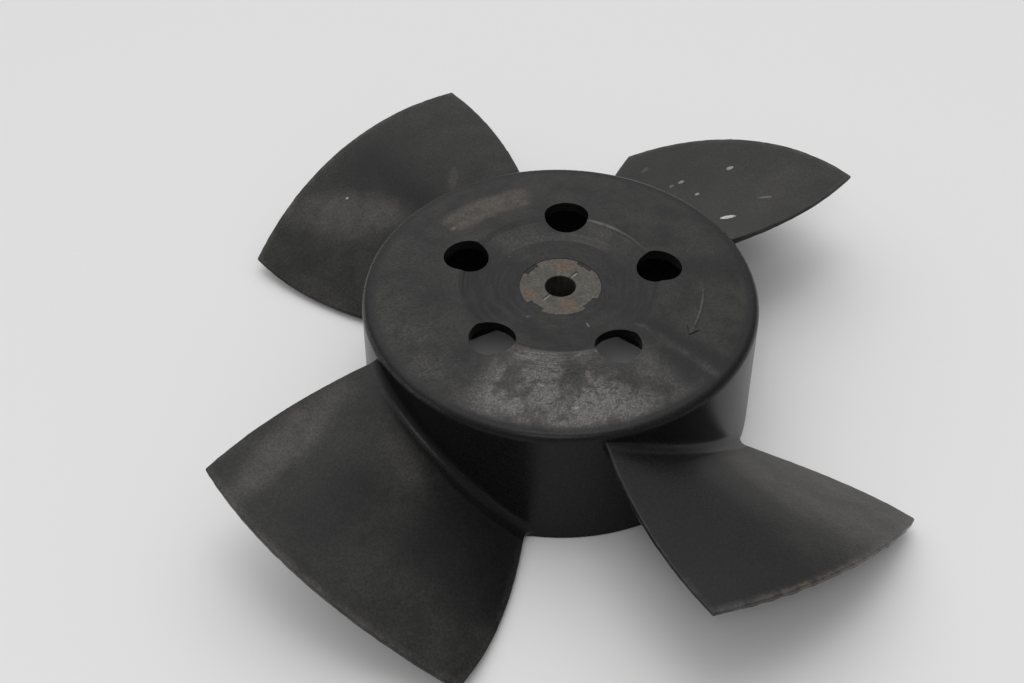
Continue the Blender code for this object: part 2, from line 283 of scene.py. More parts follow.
class BladeSizes(bpy.types.PropertyGroup):
    """Sizes of one blade. Rows give the root, mid span and the tip."""

    fan_radius: length("Fan radius", "Radius of the blade tips", 0.128)
    azimuths: turns("Azimuths", "Where each blade stands", (52.5, 127.5, 232.5, 307.5))
    lead_drop: length("Lead drop", "From the rim down to the leading edge", 0.005)
    lead_height_shares: shares("Lead heights", "Of the root's height", (1.0, 0.944, 0.901))
    trail_height_shares: shares("Trail heights", "Of the same height", (0.049, 0.037, 0.113))
    lead_edge: turns("Lead edge", "Azimuth of the leading edge", (-26.8, -23.6, -19.1))
    trail_edge: turns("Trail edge", "Azimuth of the trailing edge", (27.5, 27.3, 24.0))
    root_camber: length("Root camber", "Arch of the section at the root", 0.0036)
    tip_camber: length("Tip camber", "Arch of the section at the tip", 0.0069)
    root_thickness: length("Root thickness", "Thickness at the root", 0.0033)
    tip_thickness: length("Tip thickness", "Thickness at the tip", 0.002)
    root_fillet: length("Root fillet", "Radius where the blade meets the hub", 0.0032)
    fillet_edge: length("Fillet edge", "Stand-off of the fillet's rim from the wall", 0.00003)
    lead_fillet_share: share("Lead fillet", "Fillet left at the leading edge", 0.2)
    fillet_fade_share: share("Fillet fade", "Where along the chord the fillet fades", 0.8)
    lead_thin_start: share("Lead thinning", "Where along the chord the blade thins below", 0.84)
    lead_thin_share: share("Lead thinness", "Lower half left at the leading edge", 0.1)
    foot_gap: length("Foot gap", "Clearance of the lowest edge from the floor", 0.0002)
    tip_ease: length("Tip ease", "Radius of the tip's edges", 0.0004)
    chord_steps: count("Chord steps", "Facets along the chord", 56)
    nose_steps: count("Nose steps", "Facets of half a rounded edge", 6)
    nose_squareness: FloatProperty(
        name="Nose squareness", description="2 rounds long edges, more flattens them", default=3.6
    )
    fillet_steps: count("Fillet steps", "Facets of the root fillet", 9)
    span_steps: count("Span steps", "Facets along the span", 26)
    chip_depth: length("Chip depth", "Unevenness of the trimmed edges", 0.00012)
    chip_pitch: length("Chip pitch", "Spacing of that unevenness", 0.0016)
    nick_depth: length("Nick depth", "Depth of the nicks in the tips", 0.0010)
    burr_reach: length("Burr reach", "Torn flash left on one blade's tip", 0.0006)
    side_wear_share: share("Side wear", "Wear of the long edges, of the tip's", 0.4)


class InsertSizes(bpy.types.PropertyGroup):
    """Sizes of the steel insert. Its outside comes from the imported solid."""

    radius: length("Radius", "Outer radius", INSERT_BOX[1].x)
    front: length("Front", "Height of the front face", INSERT_BOX[1].z)
    foot: length("Foot", "Height of the back face", INSERT_BOX[0].z)
    edge_rounding: length("Edge rounding", "Radius of the outer edges", 0.0003)
    bore_radius: length("Bore radius", "Radius of the shaft bore", 0.005)
    bore_rounding: length("Bore rounding", "Radius of the bore's mouths", 0.0004)
    notch_count: count("Notches", "Notches round each end", 4)
    first_notch: turn("First notch", "Azimuth of the first notch", 49.7)
    notch_half_width: turn("Notch half width", "Half the angle that a notch takes", 13.0)
    notch_depth: length("Notch depth", "How deep a notch cuts", 0.0016)
    notch_length: length("Notch length", "How far a notch runs along the axis", 0.004)
    notch_tear: length("Notch tear", "Ragged edge of the plastic in a notch", 0.0005)
    lug_sink: length("Lug sink", "How far the plastic in a notch lies below the steel", 0.00012)
    slot_azimuth: turn("Slot azimuth", "Direction of the drive slot", 50.0)
    slot_width: length("Slot width", "Width of the drive slot", 0.001)
    slot_depth: length("Slot depth", "Depth of the drive slot", 0.0003)
    slot_reach: length("Slot reach", "Half the length of the drive slot", 0.0089)
    seam: length("Seam", "Hairline between steel and plastic", 0.00002)
    lug_gap: length("Lug gap", "Gap round the plastic in a notch", 0.00008)


class ArrowSizes(bpy.types.PropertyGroup):
    """Sizes of the relief arrow that shows the direction of rotation."""

    radius: length("Radius", "Radius of the arrow's curved shaft", 0.0463)
    width: length("Width", "Width of the shaft", 0.0009)
    relief: length("Relief", "How far the arrow stands proud", 0.00035)
    sink: length("Sink", "How far the arrow is bedded in the face", 0.0004)
    edge_rounding: length("Edge rounding", "Radius of the arrow's edges", 0.0001)
    tail: turn("Tail", "Azimuth where the shaft starts", -2.0)
    neck: turn("Neck", "Azimuth where the head starts", -25.0)
    point: turn("Point", "Azimuth of the head's point", -29.5)
    end_width: length("End width", "Half the width left at both ends", 0.000018)
    head_width: length("Head width", "Width of the head", 0.0042)
    steps: count("Steps", "Facets along the shaft", 28)
    head_steps: count("Head steps", "Facets along the head", 6)


class FinishColours(bpy.types.PropertyGroup):
    """Colours and strengths of the finishes."""

    plastic: tint("Plastic", "Clean glass-filled plastic", (0.0086, 0.0087, 0.0092))
    dust: tint("Dust", "Grey film on surfaces that face up", (0.0268, 0.0264, 0.0246))
    # Also the colour of the painted reflection and sheen on the front blades
    film_and_sheen: tint("Film", "Light film in patches on the blades", (0.0640, 0.0610, 0.0570))
    flash: tint("Flash", "Torn tan flash on one blade's tip", (0.0760, 0.0600, 0.0460))
    # Also the colour of the painted glare on the face's front and of the painted highlights along
    # edges
    wear_and_highlight: tint("Worn", "Scuffed plastic", (0.120, 0.113, 0.109))
    brown_dust: tint("Brown dust", "Dust that sticks to scuffs", (0.098, 0.082, 0.066))
    paint: tint("Paint", "Dried pale specks", (0.42, 0.43, 0.41))
    steel: tint("Steel", "Dull turned steel", (0.078, 0.0725, 0.0625))
    slot_highlight: tint("Bright steel", "Steel in the drive slot", (0.135, 0.138, 0.130))
    # Painted highlight on the floor of the drive slot
    rust: tint("Rust", "Faint rust on the steel", (0.115, 0.062, 0.034))
    floor: tint("Floor", "Pale studio floor", (0.684, 0.684, 0.684))
    plastic_roughness: share("Plastic roughness", "Roughness of clean plastic", 0.27)
    plastic_specular: share("Plastic specular", "Strength of the plastic's reflections", 0.155)
    worn_roughness: share("Worn roughness", "Roughness of scuffed plastic", 0.46)
    steel_metallic: share("Steel metallic", "How metallic the dull steel is", 0.7)


class StageSettings(bpy.types.PropertyGroup):
    """Camera, lamps and floor."""

    camera_place: place("Camera", "Where the camera stands", (-0.01002, -0.36332, 0.38368))
    camera_target: place("Target", "Point in the middle of the picture", (-0.01586, -0.0018, 0.025))
    camera_roll: turn("Roll", "Tilt of the camera about its view", -0.239)
    lens: FloatProperty(
        name="Lens", description="Focal length for a 36 mm sensor", default=53.107, unit="CAMERA"
    )
    floor_size: length("Floor size", "Width of the floor", 12.0)
    key_place: place("Key lamp", "Where the soft box hangs", (-0.05, 0.66, 1.36))
    key_size: length("Key size", "Width of the soft box", 1.3)
    key_power: power("Key power", "Power of the soft box", 1.4)
    top_place: place("Top lamp", "Where the top soft box hangs", (0.0, 0.0, 1.6))
    top_size: length("Top size", "Width of the top soft box", 0.8)
    top_power: power("Top power", "Power of the top soft box", 3.1)
    front_place: place("Front lamp", "Where the front soft box hangs", (-0.097, -0.918, 1.18))
    front_size: length("Front size", "Width of the front soft box", 0.45)
    front_power: power("Front power", "Power of the front soft box", 2.7)
    sky_bright: share("Sky bright", "Studio light from above and behind", 1.42)
    sky_dim: share("Sky dim", "Studio light from the camera's side", 0.31)


# Lighter zones of the face in the scuffed colour: scuffs, and in front a painted glare where the
# lamps' reflection falls; name, inner and outer radius in metres, middle azimuth and half width in
# degrees, softness in metres and degrees, strength
SCUFF_AND_GLARE_ZONES = (
    ("front scuffing", 0.0325, 0.0606, -85.0, 33.0, 0.0012, 9.0, 0.52),
    ("front glare", 0.0430, 0.0590, -85.0, 16.0, 0.0060, 9.0, 0.52),
    ("left film", 0.0330, 0.0615, 196.0, 55.0, 0.0030, 20.0, 0.03),
    ("left patches", 0.0480, 0.0600, -145.0, 18.0, 0.0050, 12.0, 0.15),
    ("front, left part", 0.0360, 0.0580, -108.0, 11.0, 0.0050, 6.0, 0.33),
    ("dish film", 0.0226, 0.0318, 87.0, 52.0, 0.0008, 6.0, 0.16),
    ("right streak", 0.0300, 0.0615, -38.4, 1.0, 0.0020, 1.6, 0.24),
    ("left streak", 0.0400, 0.0580, -108.5, 2.2, 0.0030, 1.8, 0.22),
    ("left wedge", 0.0390, 0.0540, -115.0, 1.1, 0.0020, 1.0, 0.30),
)

# Zones of the face where the dust is taken away, so they come out darker: a painted shadow round
# the insert, and darker patches elsewhere, the rim among them; values as above
DARKENED_FACE_ZONES = (
    ("beside right hole", 0.0360, 0.0620, 10.5, 6.0, 0.0040, 5.0, 0.80),
    ("beside right streak", 0.0300, 0.0620, -33.5, 3.0, 0.0020, 2.5, 0.90),
    ("front left", 0.0340, 0.0560, -133.0, 4.0, 0.0030, 4.0, 0.90),
    ("rim", 0.0608, 0.0700, 0.0, 180.0, 0.0014, 1.0, 0.95),
    ("left of left hole", 0.0350, 0.0460, 176.0, 18.0, 0.0040, 8.0, 0.45),
    ("round the insert", 0.0110, 0.0136, 90.0, 75.0, 0.0006, 15.0, 0.80),
    ("left of dish", 0.0140, 0.0330, 185.0, 32.0, 0.0020, 14.0, 0.55),
    ("right of dish", 0.0140, 0.0330, -4.0, 32.0, 0.0020, 12.0, 0.45),
)

# Zones that one effect each works in; values as above
MARKED_ZONE = ("turned marks", 0.0322, 0.0410, -92.0, 26.0, 0.0012, 6.0, 1.00)
CRACKED_ZONE = ("cracks", 0.0370, 0.0570, -82.0, 22.0, 0.0030, 8.0, 0.70)
RIPPLED_ZONE = ("rippled side", 0.0330, 0.0625, 190.0, 45.0, 0.0040, 20.0, 0.90)
RINGED_ZONE = ("rings round the insert", 0.0120, 0.0325, 0.0, 180.0, 0.0020, 1.0, 0.60)
BROWN_ZONE = ("brown smudges", 0.0412, 0.0520, 122.5, 19.0, 0.0022, 4.0, 0.62)
FLASH_ZONE = ("torn flash", 0.1268, 0.1310, -51.0, 12.0, 0.0004, 7.0, 0.75)
RUST_ZONES = (
    ("rust, back", 0.0065, 0.0122, 81.0, 16.0, 0.0010, 10.0, 0.50),
    ("rust, front", 0.0065, 0.0122, -75.0, 18.0, 0.0010, 10.0, 0.50),
    ("rust, left", 0.0065, 0.0122, -161.0, 14.0, 0.0010, 10.0, 0.50),
)

# Lighter zones of the blades: a painted reflection on the front right blade's trailing half and
# ridge; values as above
PAINTED_REFLECTION_ZONES = (
    ("front right, trailing half", 0.0690, 0.1300, -33.0, 11.0, 0.0030, 4.0, 0.74),
    ("front right, ridge", 0.0740, 0.1080, -44.5, 1.5, 0.0060, 2.5, 0.25),
)
# Zones of the blades where the dust is taken away, so they come out darker: painted shade on the
# front right blade's leading half and the front left blade's trailing side, which turn towards the
# dim side of the studio, and darker bands in the middle of the left blades; values as above
DARKENED_BLADE_ZONES = (
    ("front right, leading half", 0.0680, 0.1290, -66.0, 14.0, 0.0020, 6.0, 0.90),
    ("front left, trailing side", 0.0660, 0.1040, -109.0, 12.0, 0.0080, 7.0, 0.80),
    ("front left, middle", 0.0850, 0.1220, -131.0, 5.0, 0.0060, 5.0, 0.60),
    ("back left, middle", 0.0760, 0.1220, 127.0, 5.0, 0.0060, 6.0, 0.90),
)

# Painted highlights along the step, the land's edge, a ring and the arrow's top, where they catch
# the light, and a painted reflection along the rim's left side;
# name, radius in metres, half width in metres, middle azimuth and half width in degrees, strength
HIGHLIGHT_LINES = (
    ("step, back right", 0.0325, 0.00040, 63.0, 10.0, 0.75),
    ("step, right", 0.0325, 0.00030, 44.0, 10.0, 0.25),
    ("step, front", 0.0325, 0.00030, -93.6, 23.0, 0.30),
    ("step, all round", 0.0325, 0.00040, 90.0, 170.0, 0.06),
    ("land edge", 0.0229, 0.00030, 68.0, 12.0, 0.20),
    ("inner ring", 0.0254, 0.00050, 70.0, 16.0, 0.12),
    ("arrow", 0.0462, 0.00045, -13.0, 11.5, 0.35),
    ("rim, left", 0.0645, 0.00050, 180.0, 55.0, 0.24),
)

# Pale specks: radius in metres, azimuth in degrees, half length and half width in
# metres, direction in degrees, strength
SPECKS = (
    (0.0786, 40.0, 0.0026, 0.0012, -4.0, 1.0),
    (0.1094, 53.5, 0.0013, 0.0011, 15.0, 0.50),
    (0.1004, 61.9, 0.0011, 0.0010, 20.0, 0.38),
    (0.0916, 55.4, 0.0008, 0.0008, 0.0, 0.50),
    (0.0983, 63.5, 0.0009, 0.0009, 20.0, 0.18),
    (0.0964, 39.3, 0.0024, 0.0007, -12.0, 0.16),
    (0.1135, 72.0, 0.0016, 0.0010, 30.0, 0.09),
    (0.1096, 136.0, 0.0006, 0.0005, 0.0, 0.45),
    (0.0202, -64.8, 0.0010, 0.0003, 115.0, 0.22),
    (0.0181, -126.0, 0.0006, 0.0005, 0.0, 0.07),
    (0.0220, 139.7, 0.0006, 0.0004, 0.0, 0.06),
    (0.0538, -85.8, 0.0012, 0.0006, 10.0, 0.22),
    (0.0458, -98.4, 0.0011, 0.0005, -20.0, 0.20),
    (0.0455, 142.5, 0.0012, 0.0006, 30.0, 0.12),
)

# Soft light patches on the blades: dirt on the back blades, and a painted sheen on the front left
# blade; values as above
SOFT_PATCHES = (
    (0.1059, 138.4, 0.0240, 0.0075, -18.5, 0.72),
    (0.0900, 134.5, 0.0060, 0.0040, 0.0, 0.30),
    (0.0830, 117.7, 0.0045, 0.0016, 90.0, 0.35),
    (0.0980, 153.5, 0.0140, 0.0035, -38.0, 0.25),
    (0.1040, -143.9, 0.0260, 0.0054, 54.8, 0.80),
    (0.0760, -130.0, 0.0090, 0.0040, -55.0, 0.28),
    (0.1000, 40.0, 0.0200, 0.0070, 60.0, 0.15),
)

# Noise masks: scale per metre, detail and roughness of the noise, the noise values between
# which the mask runs, and the mask's values there
NOISES = {
    "scuff clouds": (85.0, 3.0, 0.60, 0.38, 0.56, 0.24, 1.05),
    "flow lines": (420.0, 3.0, 0.60, 0.30, 0.70, 0.84, 1.14),
    "turned marks": (2000.0, 2.0, 0.60, 0.35, 0.62, -0.55, 0.45),
    # Painted glints within the painted glare
    "glints": (1500.0, 2.0, 0.60, 0.34, 0.66, 0.60, 1.40),
    "rings": (700.0, 3.0, 0.65, 0.38, 0.62, 0.00, 1.00),
    "cloudy film": (120.0, 5.0, 0.65, 0.30, 0.70, 0.65, 1.20),
    "brown patches": (260.0, 4.0, 0.60, 0.36, 0.60, 0.50, 1.00),
    "brown streaks": (1500.0, 2.0, 0.60, 0.35, 0.65, 0.60, 1.10),
    "broken lines": (500.0, 2.0, 0.60, 0.30, 0.50, 0.30, 1.00),
    "edge chips": (170.0, 5.0, 0.60, 0.40, 0.62, 0.10, 0.34),
    "torn flash": (300.0, 4.0, 0.65, 0.44, 0.60, 0.00, 1.00),
    "turned steel": (2600.0, 2.0, 0.50, 0.25, 0.75, 0.88, 1.12),
    "steel specks": (900.0, 3.0, 0.70, 0.30, 0.70, 0.74, 1.26),
}

# Small helpers for modelling in edit mode


def mix(start, end, amount):
    """Straight blend of two values."""
    return start + (end - start) * amount


def polar(radius, angle, height):
    """Point at a radius, an azimuth and a height."""
    return Vector((radius * math.cos(angle), radius * math.sin(angle), height))


def arc(centre, radius, start, end, steps):
    """Points along an arc in a plane, both ends included."""
    points = []
    for step in range(steps + 1):
        angle = mix(start, end, step / steps)
        points.append((centre[0] + radius * math.cos(angle), centre[1] + radius * math.sin(angle)))
    return points


def rounded(before, corner, after, radius, steps):
    """The points of an arc that rounds a corner of a profile."""
    corner = Vector(corner)
    back = (Vector(before) - corner).normalized()
    ahead = (Vector(after) - corner).normalized()
    half = back.angle(ahead) * 0.5
    centre = corner + (back + ahead).normalized() * radius / math.sin(half)
    start = corner + back * radius / math.tan(half) - centre
    end = corner + ahead * radius / math.tan(half) - centre
    sweep = start.angle_signed(end)
    first = math.atan2(start.y, start.x)
    return arc(centre, radius, first, first - sweep, steps)


def select_only(piece):
    """Make one piece the only selected one and the active one."""
    bpy.ops.object.select_all(action="DESELECT")
    piece.select_set(True)
    bpy.context.view_layer.objects.active = piece


def start_piece(name):
    """New empty piece at the origin, left in edit mode."""
    bpy.ops.object.select_all(action="DESELECT")
    bpy.ops.mesh.primitive_plane_add(size=START_SIZE, location=ORIGIN)
    piece = bpy.context.active_object
    piece.name = name
    piece.data.name = name
    bpy.ops.object.mode_set(mode="EDIT")
    bpy.ops.mesh.select_mode(type="VERT")
    bpy.ops.mesh.delete(type="VERT")
    return piece


def draw_wire(points):
    """Set one point and extrude it along the rest of a line."""
    bpy.ops.mesh.primitive_plane_add(size=START_SIZE, location=points[0])
    bpy.ops.mesh.merge(type="CENTER")
    for here, after in zip(points, points[1:]):
        step = Vector(after) - Vector(here)
        bpy.ops.mesh.extrude_region_move(TRANSFORM_OT_translate={"value": step})


def raise_outline(points, rise):
    """Draw an outline, fill it and extrude it into a prism."""
    draw_wire(points)
    bpy.ops.mesh.select_linked()
    bpy.ops.mesh.edge_face_add()
    bpy.ops.mesh.extrude_region_move(TRANSFORM_OT_translate={"value": rise})


def close_up():
    """Merge doubles, turn all faces outwards and leave edit mode."""
    bpy.ops.mesh.select_all(action="SELECT")
    bpy.ops.mesh.remove_doubles(threshold=MERGE_DISTANCE)
    bpy.ops.mesh.normals_make_consistent(inside=False)
    bpy.ops.object.mode_set(mode="OBJECT")


def spin_wire(segments):
    """Turn the drawn wire once round the wheel's axis."""
    bpy.ops.mesh.select_all(action="SELECT")
    bpy.ops.mesh.spin(steps=segments, angle=math.tau, center=ORIGIN, axis=AXIS)
    close_up()


def select_edges(piece, wanted):
    """Select, in edit mode, the edges that a test accepts."""
    bpy.ops.mesh.select_all(action="DESELECT")
    bpy.ops.mesh.select_mode(type="EDGE")
    mesh = bmesh.from_edit_mesh(piece.data)
    for edge in mesh.edges:
        edge.select_set(wanted(edge))
    bmesh.update_edit_mesh(piece.data)


def combine(target, tool, operation):
    """Join or cut a piece with a tool, which is used up."""
    select_only(target)
    modifier = target.modifiers.new(tool.name, "BOOLEAN")
    modifier.solver = "EXACT"
    modifier.operation = operation
    modifier.object = tool
    bpy.ops.object.modifier_apply(modifier=modifier.name)
    bpy.data.objects.remove(tool, do_unlink=True)


def clean_joints(piece):
    """Merge the points that cuts leave in one place, and dissolve idle ones on straight edges."""
    select_only(piece)
    bpy.ops.object.mode_set(mode="EDIT")
    bpy.ops.mesh.select_mode(type="VERT")
    bpy.ops.mesh.select_all(action="SELECT")
    bpy.ops.mesh.remove_doubles(threshold=MERGE_DISTANCE)
    bpy.ops.mesh.select_all(action="DESELECT")
    mesh = bmesh.from_edit_mesh(piece.data)
    for vert in mesh.verts:
        if len(vert.link_edges) == 2:
            start, end = (edge.other_vert(vert).co for edge in vert.link_edges)
            nearest = intersect_point_line(vert.co, start, end)[0]
            vert.select_set((vert.co - nearest).length < MERGE_DISTANCE)
    bmesh.update_edit_mesh(piece.data)
    bpy.ops.mesh.dissolve_verts()
    bpy.ops.object.mode_set(mode="OBJECT")


def copy_turned(piece, angle):
    """Copy a piece with its own mesh, turned about the wheel's axis."""
    select_only(piece)
    bpy.ops.object.duplicate(linked=False)
    copy = bpy.context.active_object
    bpy.ops.object.mode_set(mode="EDIT")
    bpy.ops.mesh.select_all(action="SELECT")
    bpy.ops.transform.rotate(value=-angle, orient_axis="Z", center_override=ORIGIN)
    bpy.ops.object.mode_set(mode="OBJECT")
    return copy


def join_all(pieces):
    """Join pieces into the first one."""
    select_only(pieces[0])
    for piece in pieces:
        piece.select_set(True)
    bpy.ops.object.join()
    return pieces[0]


def smooth(piece, sharp_angle):
    """Shade a piece smooth, with crisp edges and flat faces kept flat."""
    select_only(piece)
    bpy.ops.object.shade_smooth_by_angle(angle=sharp_angle)
    modifier = piece.modifiers.new("face_weights", "WEIGHTED_NORMAL")
    modifier.keep_sharp = True
    bpy.ops.object.modifier_apply(modifier=modifier.name)


def finish_piece(piece, material, nodes=()):
    """Give a piece its material and tie it to the frame."""
    piece.data.materials.clear()
    piece.data.materials.append(material)
    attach(piece, "root")
    if nodes:
        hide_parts(*nodes)


# The forms of hub and blade


def crown_height(hub):
    """Height of the crown's flat top."""
    return hub.rim_height + hub.crown_rise


def land_height(hub):
    """Height of the flat ring round the insert."""
    return crown_height(hub) - hub.step_depth - hub.dish_depth


def land_radius(hub, insert):
    """Outer radius of that ring."""
    return insert.radius + hub.land_width


def face_height(hub, insert, radius):
    """Height of the hub's face at a radius."""
    land = land_radius(hub, insert)
    step = land + hub.dish_width
    crest = step + hub.crest_width
    if radius <= land:
        return land_height(hub)
    if radius < step:
        return land_height(hub) + hub.dish_depth * (radius - land) / hub.dish_width
    if radius <= crest:
        return crown_height(hub)
    slope = hub.crown_rise / (hub.top_radius - hub.rim_rounding - crest)
    return crown_height(hub) - (radius - crest) * slope


def wall_radius(hub, height):
    """Outer radius of the drafted wall at a height."""
    amount = min(max(height / (hub.rim_height - hub.rim_rounding), 0.0), 1.0)
    return hub.top_radius + hub.draft * (1.0 - amount)


def hub_profile(hub, insert):
    """Section of the cup, from the middle of its face round to the boss's foot."""
    land = land_radius(hub, insert)
    step = land + hub.dish_width
    crest = step + hub.crest_width
    top = crown_height(hub)
    rim_centre = (hub.top_radius - hub.rim_rounding, hub.rim_height - hub.rim_rounding)
    slope = math.atan2(hub.crown_rise, rim_centre[0] - crest)
    dish_end = (step - hub.step_ramp, face_height(hub, insert, step - hub.step_ramp))
    step_top = (step + hub.step_ramp, top)
    points = [(0.0, land_height(hub)), (land, land_height(hub))]
    points += rounded(points[-1], dish_end, step_top, hub.step_rounding, STEP_FACETS)
    points += rounded(dish_end, step_top, (crest, top), hub.step_rounding, STEP_FACETS)
    for row in range(CROWN_ROWS):
        radius = mix(crest, rim_centre[0], row / CROWN_ROWS)
        points.append((radius, face_height(hub, insert, radius)))
    points += arc(rim_centre, hub.rim_rounding, math.pi / 2 - slope, 0.0, RIM_FACETS)
    for row in range(1, WALL_ROWS):
        height = mix(rim_centre[1], hub.foot_chamfer, row / WALL_ROWS)
        points.append((wall_radius(hub, height), height))
    foot_radius = hub.top_radius + hub.draft
    points += [
        (foot_radius, hub.foot_chamfer),
        (foot_radius - hub.foot_chamfer, 0.0),
        (foot_radius - hub.wall, 0.0),
    ]
    inner = hub.top_radius - hub.wall - hub.corner_rounding
    ceiling = face_height(hub, insert, inner) - hub.face_wall - hub.corner_rounding
    points += arc((inner, ceiling), hub.corner_rounding, 0.0, math.pi / 2, CORNER_FACETS)
    under_land = land_height(hub) - hub.face_wall
    boss = insert.radius + hub.boss_wall
    points += [
        (crest, top - hub.face_wall),
        (step, top - hub.face_wall),
        (land, under_land),
        (boss, under_land),
        (boss - hub.boss_draft, insert.foot + hub.standout),
        (0.0, insert.foot + hub.standout),
    ]
    return [(radius, 0.0, height) for radius, height in points]


def at_span(values, amount):
    """Curve through the values at the root, at mid span and at the tip."""
    root, middle, tip = values
    return (
        root * (1.0 - amount) * (1.0 - 2.0 * amount)
        + middle * 4.0 * amount * (1.0 - amount)
        + tip * amount * (2.0 * amount - 1.0)
    )


def blade_midline(hub, blade, span, chord):
    """Point of the blade's middle surface, unrolled: arc length from its azimuth and height."""
    root_height = hub.rim_height - blade.lead_drop
    radius = mix(hub.top_radius, blade.fan_radius, span)
    trail = root_height * at_span(blade.trail_height_shares, span)
    lead = root_height * at_span(blade.lead_height_shares, span)
    camber = mix(blade.root_camber, blade.tip_camber, span) * 4.0 * chord * (1.0 - chord)
    angle = mix(at_span(blade.trail_edge, span), at_span(blade.lead_edge, span), chord)
    return Vector((-radius * angle, mix(trail, lead, chord) + camber))


def nose(blade, centre, reach, way):
    """Points round a long edge of the blade, flatter in front than a half circle."""
    squareness = blade.nose_squareness
    steps = 2 * blade.nose_steps
    points = []
    for step in range(steps + 1):
        turned = mix(-math.pi / 2, math.pi / 2, step / steps)
        spread = abs(math.cos(turned)) ** squareness + abs(math.sin(turned)) ** squareness
        bulge = reach * spread ** (-1.0 / squareness)
        points.append((
            centre[0] + bulge * math.cos(way + turned),
            centre[1] + bulge * math.sin(way + turned),
        ))
    return points


def blade_section(hub, blade, span, thickness, flare, fullness):
    """Closed section at one radius, unrolled; fullness 0 draws it in to its middle line."""
    ends = blade_midline(hub, blade, span, 0.0), blade_midline(hub, blade, span, 1.0)
    inset = thickness * 0.5 / (ends[1] - ends[0]).length
    upper, lower, noses = [], [], []
    for step in range(blade.chord_steps + 1):
        chord = mix(inset, 1.0 - inset, step / blade.chord_steps)
        middle = blade_midline(hub, blade, span, chord)
        ahead = blade_midline(hub, blade, span, chord + inset)
        behind = blade_midline(hub, blade, span, chord - inset)
        along = (ahead - behind).normalized()
        fade = max(chord - blade.fillet_fade_share, 0.0) / (1.0 - blade.fillet_fade_share)
        reach = (thickness * 0.5 + flare * mix(1.0, blade.lead_fillet_share, fade)) * fullness
        across = Vector((-along.y, along.x))
        thinned = max(chord - blade.lead_thin_start, 0.0) / (1.0 - blade.lead_thin_start)
        below = reach * mix(1.0, blade.lead_thin_share, thinned)
        upper.append(middle + across * reach)
        lower.append(middle - across * below)
        if step in (0, blade.chord_steps):
            centre = middle + across * (reach - below) * 0.5
            noses.append((centre, (reach + below) * 0.5, math.atan2(along.y, along.x)))
    (trail, trail_reach, trail_way), (lead, lead_reach, lead_way) = noses
    trail_nose = nose(blade, trail, trail_reach, trail_way + math.pi)
    lead_nose = nose(blade, lead, lead_reach, lead_way)
    outline = upper[::-1] + trail_nose[1:-1] + lower + lead_nose[1:-1]
    return [(along, max(height, blade.foot_gap)) for along, height in outline]


def blade_stations(hub, blade):
    """(span, thickness, flare, fullness) of each section, from inside the wall to the tip."""
    span = blade.fan_radius - hub.top_radius
    inside = -hub.wall * 0.5 / span
    stations = [
        (inside, blade.root_thickness, blade.root_fillet, 0.0),
        (inside, blade.root_thickness, blade.root_fillet, 1.0),
    ]
    for step in range(blade.fillet_steps + 1):
        angle = math.pi / 2 * step / blade.fillet_steps
        reach = (blade.fillet_edge + blade.root_fillet * (1.0 - math.cos(angle))) / span
        thickness = mix(blade.root_thickness, blade.tip_thickness, reach)
        stations.append((reach, thickness, blade.root_fillet * (1.0 - math.sin(angle)), 1.0))
    first = stations[-1][0]
    last = 1.0 - blade.tip_ease / span
    for step in range(1, blade.span_steps + 1):
        reach = mix(first, last, step / blade.span_steps)
        thickness = mix(blade.root_thickness, blade.tip_thickness, reach)
        stations.append((reach, thickness, 0.0, 1.0))
    slim = 1.0 - blade.tip_ease / (blade.tip_thickness * 0.5)
    for step in range(1, TIP_FACETS + 1):
        angle = math.pi / 2 * step / TIP_FACETS
        reach = mix(last, 1.0, math.sin(angle))
        fullness = mix(slim, 1.0, math.cos(angle))
        stations.append((reach, blade.tip_thickness, 0.0, fullness))
    stations.append((1.0, blade.tip_thickness, 0.0, 0.0))
    return stations


def blade_ring(hub, blade, azimuth, station):
    """The points of one section, rolled back round the axis."""
    span, thickness, flare, fullness = station
    drawn = mix(hub.top_radius, blade.fan_radius, span)
    ring = []
    for along, height in blade_section(hub, blade, span, thickness, flare, fullness):
        radius = mix(wall_radius(hub, height), blade.fan_radius, span)
        ring.append(polar(radius, azimuth - along / drawn, height))
    return ring


def loft(name, rings):
    """Piece extruded ring by ring through rings with as many points each."""
    piece = start_piece(name)
    bpy.ops.mesh.primitive_circle_add(vertices=len(rings[0]), radius=START_SIZE, location=ORIGIN)
    mesh = bmesh.from_edit_mesh(piece.data)
    mesh.verts.layers.int.new("ring_order")
    order = mesh.verts.layers.int["ring_order"]
    for vert in mesh.verts:
        turned = math.atan2(vert.co.y, vert.co.x) / math.tau
        vert[order] = round(turned * len(rings[0])) % len(rings[0])
    for ring in rings:
        if ring is not rings[0]:
            bpy.ops.mesh.extrude_region_move()
        mesh = bmesh.from_edit_mesh(piece.data)
        order = mesh.verts.layers.int["ring_order"]
        for vert in mesh.verts:
            if vert.select:
                vert.co = ring[vert[order]]
        bmesh.update_edit_mesh(piece.data)
    close_up()
    return piece


def edge_distance(hub, blade, point):
    """Distance of a point from the nearest long blade edge, and which blade it is on."""
    radius = math.hypot(point.x, point.y)
    span = (radius - hub.top_radius) / (blade.fan_radius - hub.top_radius)
    azimuth = math.atan2(point.y, point.x)
    offsets = [(azimuth - middle + math.pi) % math.tau - math.pi for middle in blade.azimuths]
    index = min(range(len(offsets)), key=lambda number: abs(offsets[number]))
    ahead = offsets[index] - at_span(blade.lead_edge, span)
    behind = at_span(blade.trail_edge, span) - offsets[index]
    return radius * min(ahead, behind), index


